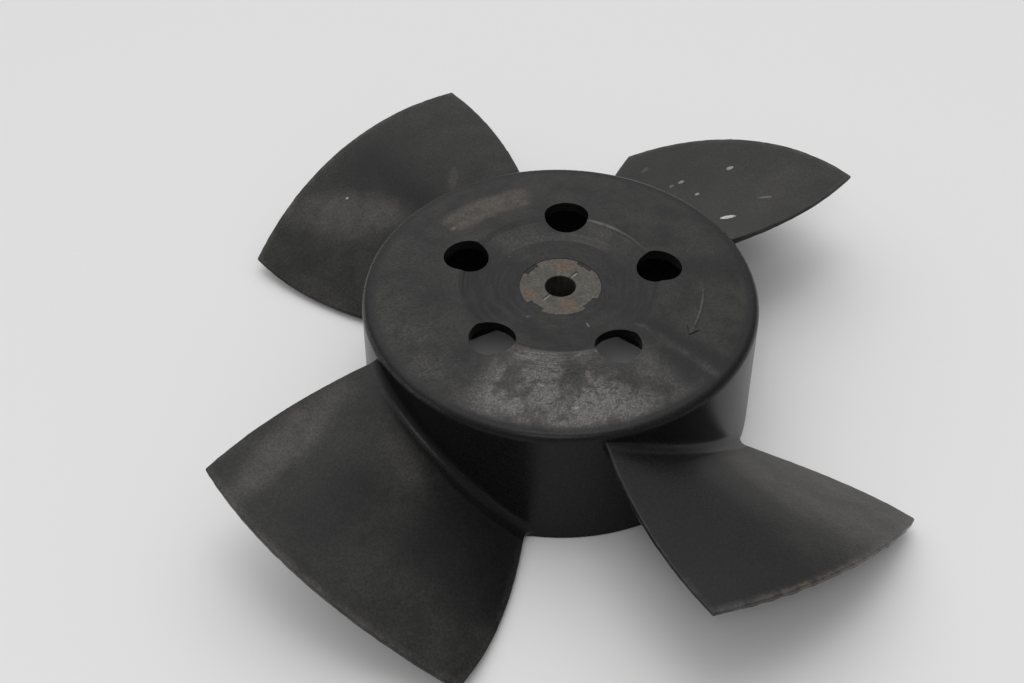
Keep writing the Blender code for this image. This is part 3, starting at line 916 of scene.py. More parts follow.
def wear_edges(piece, hub, blade):
    """Mark how worn the blades' edges are, and leave them as uneven as trimming did."""
    wear = piece.data.attributes.new("edge_wear", "FLOAT", "POINT").data
    pitch = 1.0 / blade.chip_pitch
    start = hub.top_radius + hub.draft + blade.root_fillet
    noise.seed_set(CHIP_SEED)
    for vert in piece.data.vertices:
        radius = math.hypot(vert.co.x, vert.co.y)
        if radius < start:
            continue
        distance, index = edge_distance(hub, blade, vert.co)
        at_tip = radius > blade.fan_radius - blade.tip_ease * TIP_BAND_SHARE
        if distance > blade.tip_thickness * SIDE_BAND_SHARE and not at_tip:
            continue
        wear[vert.index].value = 1.0 if at_tip else blade.side_wear_share
        chipped = noise.noise_vector(vert.co * pitch) * blade.chip_depth
        coarse = noise.noise(vert.co * pitch * NICK_PITCH_SHARE)
        nick = max(coarse - NICK_THRESHOLD, 0.0) * blade.nick_depth
        inward = -Vector((vert.co.x, vert.co.y, 0.0)).normalized()
        vert.co += chipped + (inward * nick if at_tip else Vector())
        if at_tip and index == len(blade.azimuths) - 1:
            torn = max(noise.noise(vert.co * pitch * BURR_PITCH_SHARE), 0.0) * blade.burr_reach
            vert.co -= inward * torn
    piece.data.update()


# Shader helpers


def add_node(tree, kind, values=None, **settings):
    """Add a node, set its options, and set or link its inputs."""
    node = tree.nodes.new(kind)
    for name, value in settings.items():
        setattr(node, name, value)
    for key, value in (values or {}).items():
        if isinstance(value, bpy.types.NodeSocket):
            tree.links.new(value, node.inputs[key])
        else:
            node.inputs[key].default_value = value
    return node


def calculate(tree, operation, *values, clamp=False):
    """One step of arithmetic."""
    node = add_node(
        tree, "ShaderNodeMath", dict(enumerate(values)), operation=operation, use_clamp=clamp
    )
    return node.outputs[0]


def vector_step(tree, operation, *values):
    """One step of vector arithmetic; returns the node's outputs."""
    return add_node(
        tree, "ShaderNodeVectorMath", dict(enumerate(values)), operation=operation
    ).outputs


def vector_from(tree, *parts):
    """Vector made from its parts."""
    return add_node(tree, "ShaderNodeCombineXYZ", dict(enumerate(parts))).outputs["Vector"]


def parts_of(tree, vector):
    """The parts of a vector, by the names of its axes."""
    return add_node(tree, "ShaderNodeSeparateXYZ", {"Vector": vector}).outputs


def upward(tree):
    """How far the surface faces up, 1 for straight up."""
    return parts_of(tree, add_node(tree, "ShaderNodeNewGeometry").outputs["Normal"])["Z"]


def fade_between(tree, value, start, end, low=0.0, high=1.0):
    """Smooth ramp from low at start to high at end."""
    node = add_node(
        tree,
        "ShaderNodeMapRange",
        {"Value": value, "From Min": start, "From Max": end, "To Min": low, "To Max": high},
        interpolation_type="SMOOTHSTEP",
    )
    return node.outputs["Result"]


def blend_colours(tree, amount, under, over):
    """Mix two colours by a linked amount."""
    node = add_node(tree, "ShaderNodeMix", data_type="RGBA")
    sockets = {socket.identifier: socket for socket in node.inputs}
    tree.links.new(amount, sockets["Factor_Float"])
    for identifier, value in (("A_Color", under), ("B_Color", over)):
        if isinstance(value, bpy.types.NodeSocket):
            tree.links.new(value, sockets[identifier])
        else:
            sockets[identifier].default_value = (*value, 1.0)
    return next(socket for socket in node.outputs if socket.identifier == "Result_Color")


def mottle(tree, position, scale, detail, roughness, distortion=0.0):
    """Value of a soft noise."""
    values = {
        "Vector": position,
        "Scale": scale,
        "Detail": detail,
        "Roughness": roughness,
        "Distortion": distortion,
    }
    return add_node(tree, "ShaderNodeTexNoise", values).outputs["Fac"]


def add_up(tree, masks):
    """Sum of masks, held between 0 and 1."""
    total = masks[0]
    for mask in masks[1:]:
        total = calculate(tree, "ADD", total, mask)
    return calculate(tree, "ADD", total, 0.0, clamp=True)


def multiply_all(tree, values):
    """Product of masks."""
    total = values[0]
    for value in values[1:]:
        total = calculate(tree, "MULTIPLY", total, value)
    return total


# Shader groups


def start_group(name, inputs, outputs):
    """New group; inputs are (label, default), with None for a vector, and outputs (label, kind)."""
    tree = bpy.data.node_groups.new(name, "ShaderNodeTree")
    for label, default in inputs:
        kind = "NodeSocketVector" if default is None else "NodeSocketFloat"
        socket = tree.interface.new_socket(label, in_out="INPUT", socket_type=kind)
        if default is not None:
            socket.default_value = default
    for label, kind in outputs:
        tree.interface.new_socket(label, in_out="OUTPUT", socket_type=kind)
    start, end = tree.nodes.new("NodeGroupInput"), tree.nodes.new("NodeGroupOutput")
    return tree, start.outputs, end.inputs


def around_axis(tree, position):
    """Distance of a position from the wheel's axis, and its unit direction from there."""
    parts = parts_of(tree, position)
    flat = vector_from(tree, parts["X"], parts["Y"])
    return (
        vector_step(tree, "LENGTH", flat)["Value"],
        vector_step(tree, "NORMALIZE", flat)["Vector"],
    )


def polar_group():
    """Radius and height of a point, and places for noise that runs in rings or in rays."""
    tree, start, end = start_group(
        "polar_place",
        [("Position", None)],
        [
            ("Radius", "NodeSocketFloat"),
            ("Rings", "NodeSocketVector"),
            ("Rays", "NodeSocketVector"),
            ("Height", "NodeSocketFloat"),
        ],
    )
    radius, around = around_axis(tree, start["Position"])
    sides = parts_of(tree, around)
    for label, turned_scale, radial_scale in (
        ("Rings", RING_TURN_SCALE, 1.0),
        ("Rays", RAY_TURN_SCALE, RAY_RADIAL_SCALE),
    ):
        place_in = vector_from(
            tree,
            calculate(tree, "MULTIPLY", sides["X"], turned_scale),
            calculate(tree, "MULTIPLY", sides["Y"], turned_scale),
            calculate(tree, "MULTIPLY", radius, radial_scale),
        )
        tree.links.new(place_in, end[label])
    tree.links.new(radius, end["Radius"])
    tree.links.new(parts_of(tree, start["Position"])["Z"], end["Height"])
    return tree


def zone_group():
    """Mask of a ring sector about the wheel's axis."""
    tree, start, end = start_group(
        "worn_zone",
        [
            ("Position", None),
            ("Inner", 0.03),
            ("Outer", 0.06),
            ("Softness", 0.002),
            ("Azimuth", 0.0),
            ("Half width", 0.5),
            ("Turn softness", 0.1),
        ],
        [("Mask", "NodeSocketFloat")],
    )
    radius, around = around_axis(tree, start["Position"])
    heading = vector_from(
        tree,
        calculate(tree, "COSINE", start["Azimuth"]),
        calculate(tree, "SINE", start["Azimuth"]),
    )
    cosine = vector_step(tree, "DOT_PRODUCT", around, heading)["Value"]
    angle = calculate(tree, "ARCCOSINE", calculate(tree, "MINIMUM", cosine, LARGEST_COSINE))
    masks = []
    for above, below, softness in (
        (start["Half width"], angle, start["Turn softness"]),
        (radius, start["Inner"], start["Softness"]),
        (start["Outer"], radius, start["Softness"]),
    ):
        depth = calculate(tree, "SUBTRACT", above, below)
        masks.append(fade_between(tree, calculate(tree, "DIVIDE", depth, softness), -1.0, 1.0))
    tree.links.new(multiply_all(tree, masks), end["Mask"])
    return tree


def oval_group():
    """Mask of one ragged oval, seen from above."""
    tree, start, end = start_group(
        "ragged_oval",
        [
            ("Position", None),
            ("Place", None),
            ("Direction", 0.0),
            ("Half length", 0.001),
            ("Half width", 0.0005),
            ("Softness", 0.12),
            ("Noise scale", 1600.0),
        ],
        [("Mask", "NodeSocketFloat")],
    )
    away = vector_step(tree, "SUBTRACT", start["Position"], start["Place"])["Vector"]
    along = add_node(
        tree,
        "ShaderNodeVectorRotate",
        {"Vector": away, "Angle": calculate(tree, "MULTIPLY", start["Direction"], -1.0)},
        rotation_type="Z_AXIS",
    ).outputs["Vector"]
    parts = parts_of(tree, along)
    sides = [
        calculate(tree, "POWER", calculate(tree, "DIVIDE", parts[axis], start[half]), 2.0)
        for axis, half in (("X", "Half length"), ("Y", "Half width"))
    ]
    reach = calculate(tree, "SQRT", calculate(tree, "ADD", *sides))
    uneven = mottle(tree, start["Position"], start["Noise scale"], *OVAL_NOISE)
    ragged = calculate(tree, "MULTIPLY_ADD", uneven, OVAL_RAGGEDNESS, -0.5 * OVAL_RAGGEDNESS)
    low = calculate(tree, "SUBTRACT", 1.0, start["Softness"])
    high = calculate(tree, "ADD", 1.0, start["Softness"])
    mask = fade_between(tree, calculate(tree, "ADD", reach, ragged), low, high, 1.0, 0.0)
    tree.links.new(mask, end["Mask"])
    return tree


def grain_group():
    """Fine grain with ripples along the rays: a value about 0.5, and a normal with its relief."""
    tree, start, end = start_group(
        "fine_grain",
        [
            ("Position", None),
            ("Scale", 900.0),
            ("Rays", None),
            ("Ripple", 0.0),
            ("Relief", 0.00004),
        ],
        [("Value", "NodeSocketFloat"), ("Normal", "NodeSocketVector")],
    )
    fine = mottle(tree, start["Position"], start["Scale"], *GRAIN_NOISE)
    waves = mottle(tree, start["Rays"], *RIPPLE_NOISE)
    ripple = calculate(tree, "SUBTRACT", waves, 0.5)
    value = calculate(tree, "MULTIPLY_ADD", ripple, start["Ripple"], fine)
    bump = add_node(
        tree, "ShaderNodeBump", {"Height": value, "Distance": start["Relief"], "Strength": 1.0}
    )
    tree.links.new(value, end["Value"])
    tree.links.new(bump.outputs["Normal"], end["Normal"])
    return tree


def dust_group():
    """Mask of the dust that settles where a surface faces up, less in bare zones and in zones of
    painted shade.
    """
    tree, start, end = start_group(
        "dust_film",
        [
            ("Position", None),
            ("Scale", 60.0),
            ("Patchiness", 0.5),
            ("Bare_and_shaded", 0.0),
        ],
        [("Mask", "NodeSocketFloat")],
    )
    facing = fade_between(tree, upward(tree), *DUST_RISES)
    cloud = mottle(tree, start["Position"], start["Scale"], *DUST_NOISE)
    bare = calculate(
        tree, "MULTIPLY", fade_between(tree, cloud, *BARE_BETWEEN, 1.0, 0.0), start["Patchiness"]
    )
    kept = [calculate(tree, "SUBTRACT", 1.0, gone) for gone in (bare, start["Bare_and_shaded"])]
    tree.links.new(multiply_all(tree, [facing, *kept]), end["Mask"])
    return tree


def shared_group(name):
    """One of the groups that the finishes share, made when it is first asked for."""
    makers = {
        "polar_place": polar_group,
        "worn_zone": zone_group,
        "ragged_oval": oval_group,
        "fine_grain": grain_group,
        "dust_film": dust_group,
    }
    return bpy.data.node_groups.get(name) or makers[name]()


# Finishes


class Finish:
    """A material in the making, with the place of its points on the wheel."""

    def __init__(self, name):
        """Start the material and find the places that its masks work with."""
        self.material = bpy.data.materials.new(name)
        self.material.use_nodes = True
        self.tree = self.material.node_tree
        self.shader = self.tree.nodes["Principled BSDF"]
        self.position = add_node(self.tree, "ShaderNodeTexCoord").outputs["Object"]
        self.spot = self.place_group("polar_place", {}).outputs

    def place_group(self, name, values):
        """Place a shared group, fed with the position."""
        values = {"Position": self.position, **values}
        return add_node(self.tree, "ShaderNodeGroup", values, node_tree=shared_group(name))

    def fade(self, value, *bounds):
        """Smooth ramp of a value."""
        return fade_between(self.tree, value, *bounds)

    def noise(self, name, run=None):
        """One of the noise masks from the table, which may run in rings or rays."""
        scale, detail, roughness, *bounds = NOISES[name]
        position = self.spot[run] if run else self.position
        return self.fade(mottle(self.tree, position, scale, detail, roughness), *bounds)

    def zone(self, row):
        """Mask of one zone from the tables, times its strength."""
        name, inner, outer, azimuth, half_width, softness, turn_softness, strength = row
        node = self.place_group("worn_zone", {
            "Inner": inner,
            "Outer": outer,
            "Softness": softness,
            "Azimuth": math.radians(azimuth),
            "Half width": math.radians(half_width),
            "Turn softness": math.radians(turn_softness),
        })
        node.label = name
        return calculate(self.tree, "MULTIPLY", node.outputs["Mask"], strength)

    def zones(self, rows):
        """Masks of several zones."""
        return [self.zone(row) for row in rows]

    def ovals(self, rows, softness, noise_scale):
        """Masks of several ovals from the tables, times their strengths."""
        masks = []
        for radius, azimuth, half_length, half_width, direction, strength in rows:
            node = self.place_group("ragged_oval", {
                "Place": polar(radius, math.radians(azimuth), 0.0),
                "Direction": math.radians(direction),
                "Half length": half_length,
                "Half width": half_width,
                "Softness": softness,
                "Noise scale": noise_scale,
            })
            masks.append(calculate(self.tree, "MULTIPLY", node.outputs["Mask"], strength))
        return masks

    def product(self, *masks):
        """Product of masks."""
        return multiply_all(self.tree, masks)

    def total(self, masks):
        """Sum of masks, held between 0 and 1."""
        return add_up(self.tree, masks)

    def grain(self, scale, relief, ripple=0.0):
        """Value and normal of the fine grain."""
        return self.place_group("fine_grain", {
            "Scale": scale,
            "Rays": self.spot["Rays"],
            "Ripple": ripple,
            "Relief": relief,
        }).outputs

    def complete(self, base, layers, tone, rough, normal):
        """Lay colours over a base colour, each by its mask, and feed the shader."""
        colour = tuple(base)
        for mask, over in layers:
            colour = blend_colours(self.tree, mask, colour, tuple(over))
        toned = add_node(
            self.tree, "ShaderNodeVectorMath", {0: colour, "Scale": tone}, operation="SCALE"
        )
        self.tree.links.new(toned.outputs["Vector"], self.shader.inputs["Base Color"])
        self.tree.links.new(rough, self.shader.inputs["Roughness"])
        self.tree.links.new(normal, self.shader.inputs["Normal"])
        return self.material


def face_mask(finish, hub):
    """Mask of the hub's face."""
    heights = [hub.rim_height + offset for offset in FACE_HEIGHTS]
    radii = [hub.top_radius + offset for offset in FACE_RADII]
    return finish.product(
        finish.fade(finish.spot["Height"], *heights),
        finish.fade(upward(finish.tree), *FACE_RISES),
        finish.fade(finish.spot["Radius"], *radii, 1.0, 0.0),
    )


def blade_mask(finish, hub):
    """Mask of the blades' upper sides."""
    radii = [hub.top_radius + offset for offset in BLADE_RADII]
    return finish.product(
        finish.fade(finish.spot["Radius"], *radii),
        finish.fade(upward(finish.tree), *BLADE_RISES),
    )


def scuff_and_glare_mask(finish):
    """Scuffed zones of the face, with flow lines, turned marks and cracks, and in front a painted
    glare with painted glints.
    """
    tree = finish.tree
    zones = finish.total(finish.zones(SCUFF_AND_GLARE_ZONES))
    marks = calculate(
        tree, "MULTIPLY_ADD", finish.zone(MARKED_ZONE), finish.noise("turned marks", "Rings"), 1.0
    )
    veins = calculate(tree, "SUBTRACT", mottle(tree, finish.position, *CRACK_NOISE), 0.5)
    crack = finish.fade(calculate(tree, "ABSOLUTE", veins), 0.0, CRACK_WIDTH, 1.0, 0.0)
    cracked = finish.product(finish.zone(CRACKED_ZONE), crack)
    whole = calculate(tree, "SUBTRACT", 1.0, cracked)
    return finish.product(
        zones,
        finish.noise("scuff clouds"),
        finish.noise("flow lines", "Rays"),
        marks,
        whole,
        finish.noise("glints"),
    )


def dust_mask(finish, on_face):
    """Dust, taken away where zones come out darker: bare patches, a painted shadow round the
    insert, and painted shade on the blades.
    """
    rings = finish.product(finish.zone(RINGED_ZONE), finish.noise("rings", "Rings"))
    # Bare patches, with a painted shadow round the insert and painted shade on the blades
    bare_and_shaded = [*finish.zones(DARKENED_FACE_ZONES), *finish.zones(DARKENED_BLADE_ZONES), rings]
    patchiness = calculate(
        finish.tree, "MULTIPLY_ADD", on_face, FACE_PATCHINESS - PATCHINESS, PATCHINESS
    )
    return finish.place_group("dust_film", {
        "Scale": DUST_SCALE,
        "Patchiness": patchiness,
        "Bare_and_shaded": finish.total(bare_and_shaded),
    }).outputs["Mask"]


def film_and_sheen_mask(finish, hub):
    """Light patches on the blades: dirt, and a painted reflection and sheen on the front blades."""
    patches = finish.zones(PAINTED_REFLECTION_ZONES) + finish.ovals(SOFT_PATCHES, *PATCH_EDGE)
    return finish.product(
        finish.total(patches), blade_mask(finish, hub), finish.noise("cloudy film")
    )


def highlight_line_mask(finish):
    """Painted highlights along edges, and a painted reflection along the rim."""
    rows = []
    for name, radius, half_width, azimuth, half_turn, strength in HIGHLIGHT_LINES:
        reach = radius - half_width, radius + half_width
        softness = half_width * LINE_SOFTNESS_SHARE
        rows.append((name, *reach, azimuth, half_turn, softness, LINE_TURN_SOFTNESS, strength))
    return finish.product(finish.total(finish.zones(rows)), finish.noise("broken lines"))


def plastic_material(colours, hub):
    """Black moulding: dust, light patches, scuffed zones of the face, edge wear and specks, with
    painted light: glare on the face's front, highlights along edges, reflection and sheen on the
    front blades, a shadow round the insert and shade on the blades.
    """
    finish = Finish("worn_moulding")
    tree = finish.tree
    on_face = face_mask(finish, hub)
    dust = dust_mask(finish, on_face)
    # Patches on the blades: dirt, and a painted reflection and sheen
    film_and_sheen = film_and_sheen_mask(finish, hub)
    # Scuffs, and a painted glare with painted glints on the front of the face
    rubbed_and_glare = calculate(tree, "MULTIPLY", scuff_and_glare_mask(finish), on_face, clamp=True)
    brown = finish.product(
        finish.zone(BROWN_ZONE),
        finish.noise("brown patches"),
        finish.noise("brown streaks", "Rays"),
        on_face,
    )
    edge = add_node(tree, "ShaderNodeAttribute", attribute_name="edge_wear").outputs["Fac"]
    layers = (
        (dust, colours.dust),
        (film_and_sheen, colours.film_and_sheen),
        (rubbed_and_glare, colours.wear_and_highlight),
        (brown, colours.brown_dust),
        # Painted highlights along the face's edges and a painted reflection on the rim
        (finish.product(highlight_line_mask(finish), on_face), colours.wear_and_highlight),
        (finish.product(edge, finish.noise("edge chips")), colours.wear_and_highlight),
        (finish.product(finish.zone(FLASH_ZONE), finish.noise("torn flash")), colours.flash),
        (finish.total(finish.ovals(SPECKS, *SPECK_EDGE)), colours.paint),
    )
    rippled = calculate(tree, "ADD", finish.zone(RIPPLED_ZONE), FACE_RIPPLE)
    grain = finish.grain(*PLASTIC_GRAIN, finish.product(rippled, on_face))
    tone = finish.fade(grain["Value"], *PLASTIC_TONES)
    roughness = colours.plastic_roughness, colours.worn_roughness
    rough = finish.fade(finish.total([rubbed_and_glare, film_and_sheen, dust]), 0.0, 1.0, *roughness)
    finish.shader.inputs["Specular IOR Level"].default_value = colours.plastic_specular
    return finish.complete(colours.plastic, layers, tone, rough, grain["Normal"])


def steel_material(colours, insert):
    """Dull turned steel with faint rust, and a painted highlight on the floor of its drive slot."""
    finish = Finish("dull_turned_steel")
    tree = finish.tree
    soft = mottle(tree, finish.position, *STEEL_NOISE)
    rusty = finish.product(
        finish.total(finish.zones(RUST_ZONES)), finish.fade(soft, *RUST_BETWEEN)
    )
    heights = [insert.front - depth for depth in SLOT_DEPTHS]
    in_slot = finish.product(
        finish.fade(finish.spot["Height"], *heights, 1.0, 0.0),
        finish.fade(finish.spot["Radius"], *SLOT_STARTS),
        finish.fade(finish.spot["Radius"], *SLOT_ENDS, 1.0, 0.0),
    )
    layers = (
        (finish.fade(soft, *LIGHT_STEEL_BETWEEN), colours.steel),
        (rusty, colours.rust),
        # Painted highlight on the slot's floor
        (in_slot, colours.slot_highlight),
    )
    tone = finish.product(finish.noise("turned steel", "Rings"), finish.noise("steel specks"))
    grain = finish.grain(*STEEL_GRAIN)
    rough = finish.fade(soft, *STEEL_ROUGHNESSES)
    finish.shader.inputs["Metallic"].default_value = colours.steel_metallic
    dark = [value * DARK_STEEL_SHARE for value in colours.steel]
    return finish.complete(dark, layers, tone, rough, grain["Normal"])


def floor_material(colours):
    """Plain matt floor."""
    material = bpy.data.materials.new("studio_floor")
    material.use_nodes = True
    shader = material.node_tree.nodes["Principled BSDF"]
    shader.inputs["Base Color"].default_value = (*colours.floor, 1.0)
    shader.inputs["Roughness"].default_value = FLOOR_ROUGHNESS
    shader.inputs["Specular IOR Level"].default_value = 0.0
    return material


# Pieces


def hole_azimuths(hub):
    """Azimuth of each hole through the face."""
    return [hub.first_hole + math.tau * index / hub.hole_count for index in range(hub.hole_count)]


def build_cup(hub, insert):
    """The turned cup, its boss still solid."""
    cup = start_piece("wheel_moulding")
    draw_wire(hub_profile(hub, insert))
    spin_wire(hub.segments)
    return cup


def build_ribs(hub, insert):
    """Ribs under the face, a pair beside each hole, from boss to wall."""
    start = insert.radius + hub.boss_wall * 0.5
    end = hub.top_radius - hub.wall * 0.5
    foot = crown_height(hub) - hub.face_wall - hub.rib_depth
    step = land_radius(hub, insert) + hub.dish_width
    bends = (end, step + hub.crest_width, step, land_radius(hub, insert), start)
    outline = [(start, foot), (end, foot)]
    for radius in bends:
        outline.append((radius, face_height(hub, insert, radius) - hub.face_wall * 0.5))
    side = [(radius, -hub.rib_thickness * 0.5, height) for radius, height in outline]
    rib = start_piece("rib")
    raise_outline(side, (0.0, hub.rib_thickness, 0.0))
    close_up()
    select_only(rib)
    bpy.ops.object.mode_set(mode="EDIT")

    def along_foot(edge):
        """Whether an edge runs along one side of the rib's foot."""
        ends = [vert.co for vert in edge.verts]
        at_foot = all(abs(point.z - foot) < MERGE_DISTANCE for point in ends)
        return at_foot and abs(ends[0].y - ends[1].y) < MERGE_DISTANCE

    select_edges(rib, along_foot)
    bpy.ops.mesh.bevel(offset=hub.rib_rounding, segments=RIB_FACETS, affect="EDGES")
    close_up()
    ribs = []
    for azimuth in hole_azimuths(hub):
        for side in (-hub.rib_offset, hub.rib_offset):
            ribs.append(copy_turned(rib, azimuth + side))
    bpy.data.objects.remove(rib, do_unlink=True)
    return join_all(ribs)


def build_blades(hub, blade):
    """The blades, each with its root in the hub's wall."""
    rings = [blade_ring(hub, blade, 0.0, station) for station in blade_stations(hub, blade)]
    master = loft("blade", rings)
    blades = [copy_turned(master, azimuth) for azimuth in blade.azimuths]
    bpy.data.objects.remove(master, do_unlink=True)
    return join_all(blades)


def build_hole_cutters(hub):
    """Round cutters through the face."""
    low = crown_height(hub) - hub.face_wall - hub.rib_depth
    cutters = start_piece("hole_cutter")
    for azimuth in hole_azimuths(hub):
        centre = polar(hub.hole_circle, azimuth, low)
        bpy.ops.mesh.primitive_circle_add(
            vertices=HOLE_FACETS, radius=hub.hole_radius, location=centre, fill_type="NGON"
        )
        rise = (0.0, 0.0, crown_height(hub) + OVERRUN - low)
        bpy.ops.mesh.extrude_region_move(TRANSFORM_OT_translate={"value": rise})
    close_up()
    return cutters


def notch_outline(insert, azimuth, gap, tear):
    """Outline of a notch seen from above, its inner side ragged by the tear."""
    half_width = insert.notch_half_width - gap / insert.radius
    floor = insert.radius - insert.notch_depth + gap
    points = []
    for step in range(NOTCH_FACETS + 1):
        angle = azimuth + mix(-half_width, half_width, step / NOTCH_FACETS)
        wave = noise.noise(polar(1.0, angle, TEAR_SLICE) * TEAR_SCALE)
        points.append(polar(floor + tear * wave, angle, 0.0))
    back_facets = NOTCH_FACETS // 2
    for step in range(back_facets + 1):
        angle = azimuth + mix(half_width, -half_width, step / back_facets)
        points.append(polar(insert.radius + OVERRUN, angle, 0.0))
    return points


def build_notches(name, insert, gap, tear, top):
    """Blocks for the notches at both ends."""
    blocks = start_piece(name)
    depth = insert.notch_length - gap
    for index in range(insert.notch_count):
        azimuth = insert.first_notch + math.tau * index / insert.notch_count
        outline = notch_outline(insert, azimuth, gap, tear)
        for low, high in (
            (insert.front - depth, top),
            (insert.foot - OVERRUN, insert.foot + depth),
        ):
            rise = (0.0, 0.0, high - low)
            raise_outline([point + Vector((0.0, 0.0, low)) for point in outline], rise)
    close_up()
    return blocks


def build_pocket(hub, insert):
    """The room for the insert, less the lugs that fill its notches."""
    pocket = start_piece("insert_pocket")
    low = insert.foot + hub.standout - OVERRUN
    bpy.ops.mesh.primitive_circle_add(
        vertices=hub.segments,
        radius=insert.radius + insert.seam,
        location=(0.0, 0.0, low),
        fill_type="NGON",
    )
    rise = (0.0, 0.0, insert.front + OVERRUN - low)
    bpy.ops.mesh.extrude_region_move(TRANSFORM_OT_translate={"value": rise})
    close_up()
    lug_top = insert.front - insert.lug_sink
    lugs = build_notches("lugs", insert, insert.lug_gap, insert.notch_tear, lug_top)
    combine(pocket, lugs, "DIFFERENCE")
    return pocket


def insert_profile(insert):
    """Closed section of the insert."""
    outer = insert.radius - insert.edge_rounding
    mouth = insert.bore_radius + insert.bore_rounding
    front, foot = insert.front, insert.foot
    edge, lip = insert.edge_rounding, insert.bore_rounding
    half, quarter = math.pi, math.pi / 2
    points = [(mix(mouth, outer, 0.5), front)]
    for centre, radius, start, end in (
        ((outer, front - edge), edge, quarter, 0.0),
        ((outer, foot + edge), edge, 0.0, -quarter),
        ((mouth, foot + lip), lip, -quarter, -half),
        ((mouth, front - lip), lip, half, quarter),
    ):
        points += arc(centre, radius, start, end, EDGE_FACETS)
    points.append(points[0])
    return [(radius, 0.0, height) for radius, height in points]


def slot_cutter(insert):
    """Bar that cuts the drive slot."""
    bar = start_piece("drive_slot")
    half, reach = insert.slot_width * 0.5, insert.slot_reach
    low = insert.front - insert.slot_depth
    corners = ((-reach, -half), (reach, -half), (reach, half), (-reach, half))
    turned = Matrix.Rotation(insert.slot_azimuth, 3, "Z")
    outline = [turned @ Vector((along, across, low)) for along, across in corners]
    raise_outline(outline, (0.0, 0.0, insert.slot_depth + OVERRUN))
    close_up()
    return bar


def arrow_stations(arrow):
    """(azimuth, half width) of each section of the arrow, from its tail to its point."""
    shaft, head = arrow.width * 0.5, arrow.head_width * 0.5
    stations = [(arrow.tail, arrow.end_width)]
    for step in range(arrow.steps + 1):
        stations.append((mix(arrow.tail, arrow.neck, step / arrow.steps), shaft))
    for step in range(arrow.head_steps + 1):
        amount = step / arrow.head_steps
        azimuth = mix(arrow.neck, arrow.point, amount)
        stations.append((azimuth, mix(head, arrow.end_width, amount)))
    return stations


def arrow_ring(hub, insert, arrow, azimuth, half):
    """The points of one section of the arrow, laid on the face."""
    ease = min(arrow.edge_rounding, half * ARROW_EASE_SHARE)
    section = (
        (-half, -arrow.sink),
        (-half, arrow.relief - ease),
        (-half + ease, arrow.relief),
        (half - ease, arrow.relief),
        (half, arrow.relief - ease),
        (half, -arrow.sink),
    )
    ring = []
    for across, rise in section:
        radius = arrow.radius + across
        ring.append(polar(radius, azimuth, face_height(hub, insert, radius) + rise))
    return ring


def build_arrow(hub, insert, arrow):
    """The relief arrow, closed at both ends on the middle of its last sections."""
    rings = [arrow_ring(hub, insert, arrow, *station) for station in arrow_stations(arrow)]
    ends = [[sum(ring, Vector()) / len(ring)] * len(ring) for ring in (rings[0], rings[-1])]
    return loft("rotation_arrow", [ends[0], *rings, ends[1]])


class FANWHEEL_OT_moulding(bpy.types.Operator):
    """Model the moulding: hub cup, ribs, blades and holes in one piece"""

    bl_idname = "fanwheel.moulding"
    bl_label = "Wheel moulding"

    def execute(self, context):
        scene = context.scene
        hub, blade, insert = scene.fanwheel_hub, scene.fanwheel_blade, scene.fanwheel_insert
        wheel = build_cup(hub, insert)
        combine(wheel, build_ribs(hub, insert), "UNION")
        combine(wheel, build_blades(hub, blade), "UNION")
        combine(wheel, build_hole_cutters(hub), "DIFFERENCE")
        combine(wheel, build_pocket(hub, insert), "DIFFERENCE")
        clean_joints(wheel)
        wear_edges(wheel, hub, blade)
        smooth(wheel, SHARP_ANGLE)
        material = plastic_material(scene.fanwheel_colours, hub)
        finish_piece(wheel, material, ["fan_wheel"])
        return {"FINISHED"}


class FANWHEEL_OT_insert(bpy.types.Operator):
    """Model the notched steel insert"""

    bl_idname = "fanwheel.insert"
    bl_label = "Steel insert"

    def execute(self, context):
        scene = context.scene
        insert = scene.fanwheel_insert
        steel = start_piece("steel_insert")
        draw_wire(insert_profile(insert))
        spin_wire(scene.fanwheel_hub.segments)
        above = insert.front + OVERRUN
        notches = build_notches("notches", insert, 0.0, insert.notch_tear, above)
        combine(steel, notches, "DIFFERENCE")
        combine(steel, slot_cutter(insert), "DIFFERENCE")
        smooth(steel, SHARP_ANGLE)
        material = steel_material(scene.fanwheel_colours, insert)
        finish_piece(steel, material, ["hub_insert"])
        return {"FINISHED"}


class FANWHEEL_OT_arrow(bpy.types.Operator):
    """Model the relief arrow on the hub's face"""

    bl_idname = "fanwheel.arrow"
    bl_label = "Rotation arrow"

    def execute(self, context):
        scene = context.scene
        hub, insert, arrow = scene.fanwheel_hub, scene.fanwheel_insert, scene.fanwheel_arrow
        piece = build_arrow(hub, insert, arrow)
        smooth(piece, ARROW_SHARP_ANGLE)
        material = bpy.data.objects["wheel_moulding"].active_material
        finish_piece(piece, material)
        return {"FINISHED"}


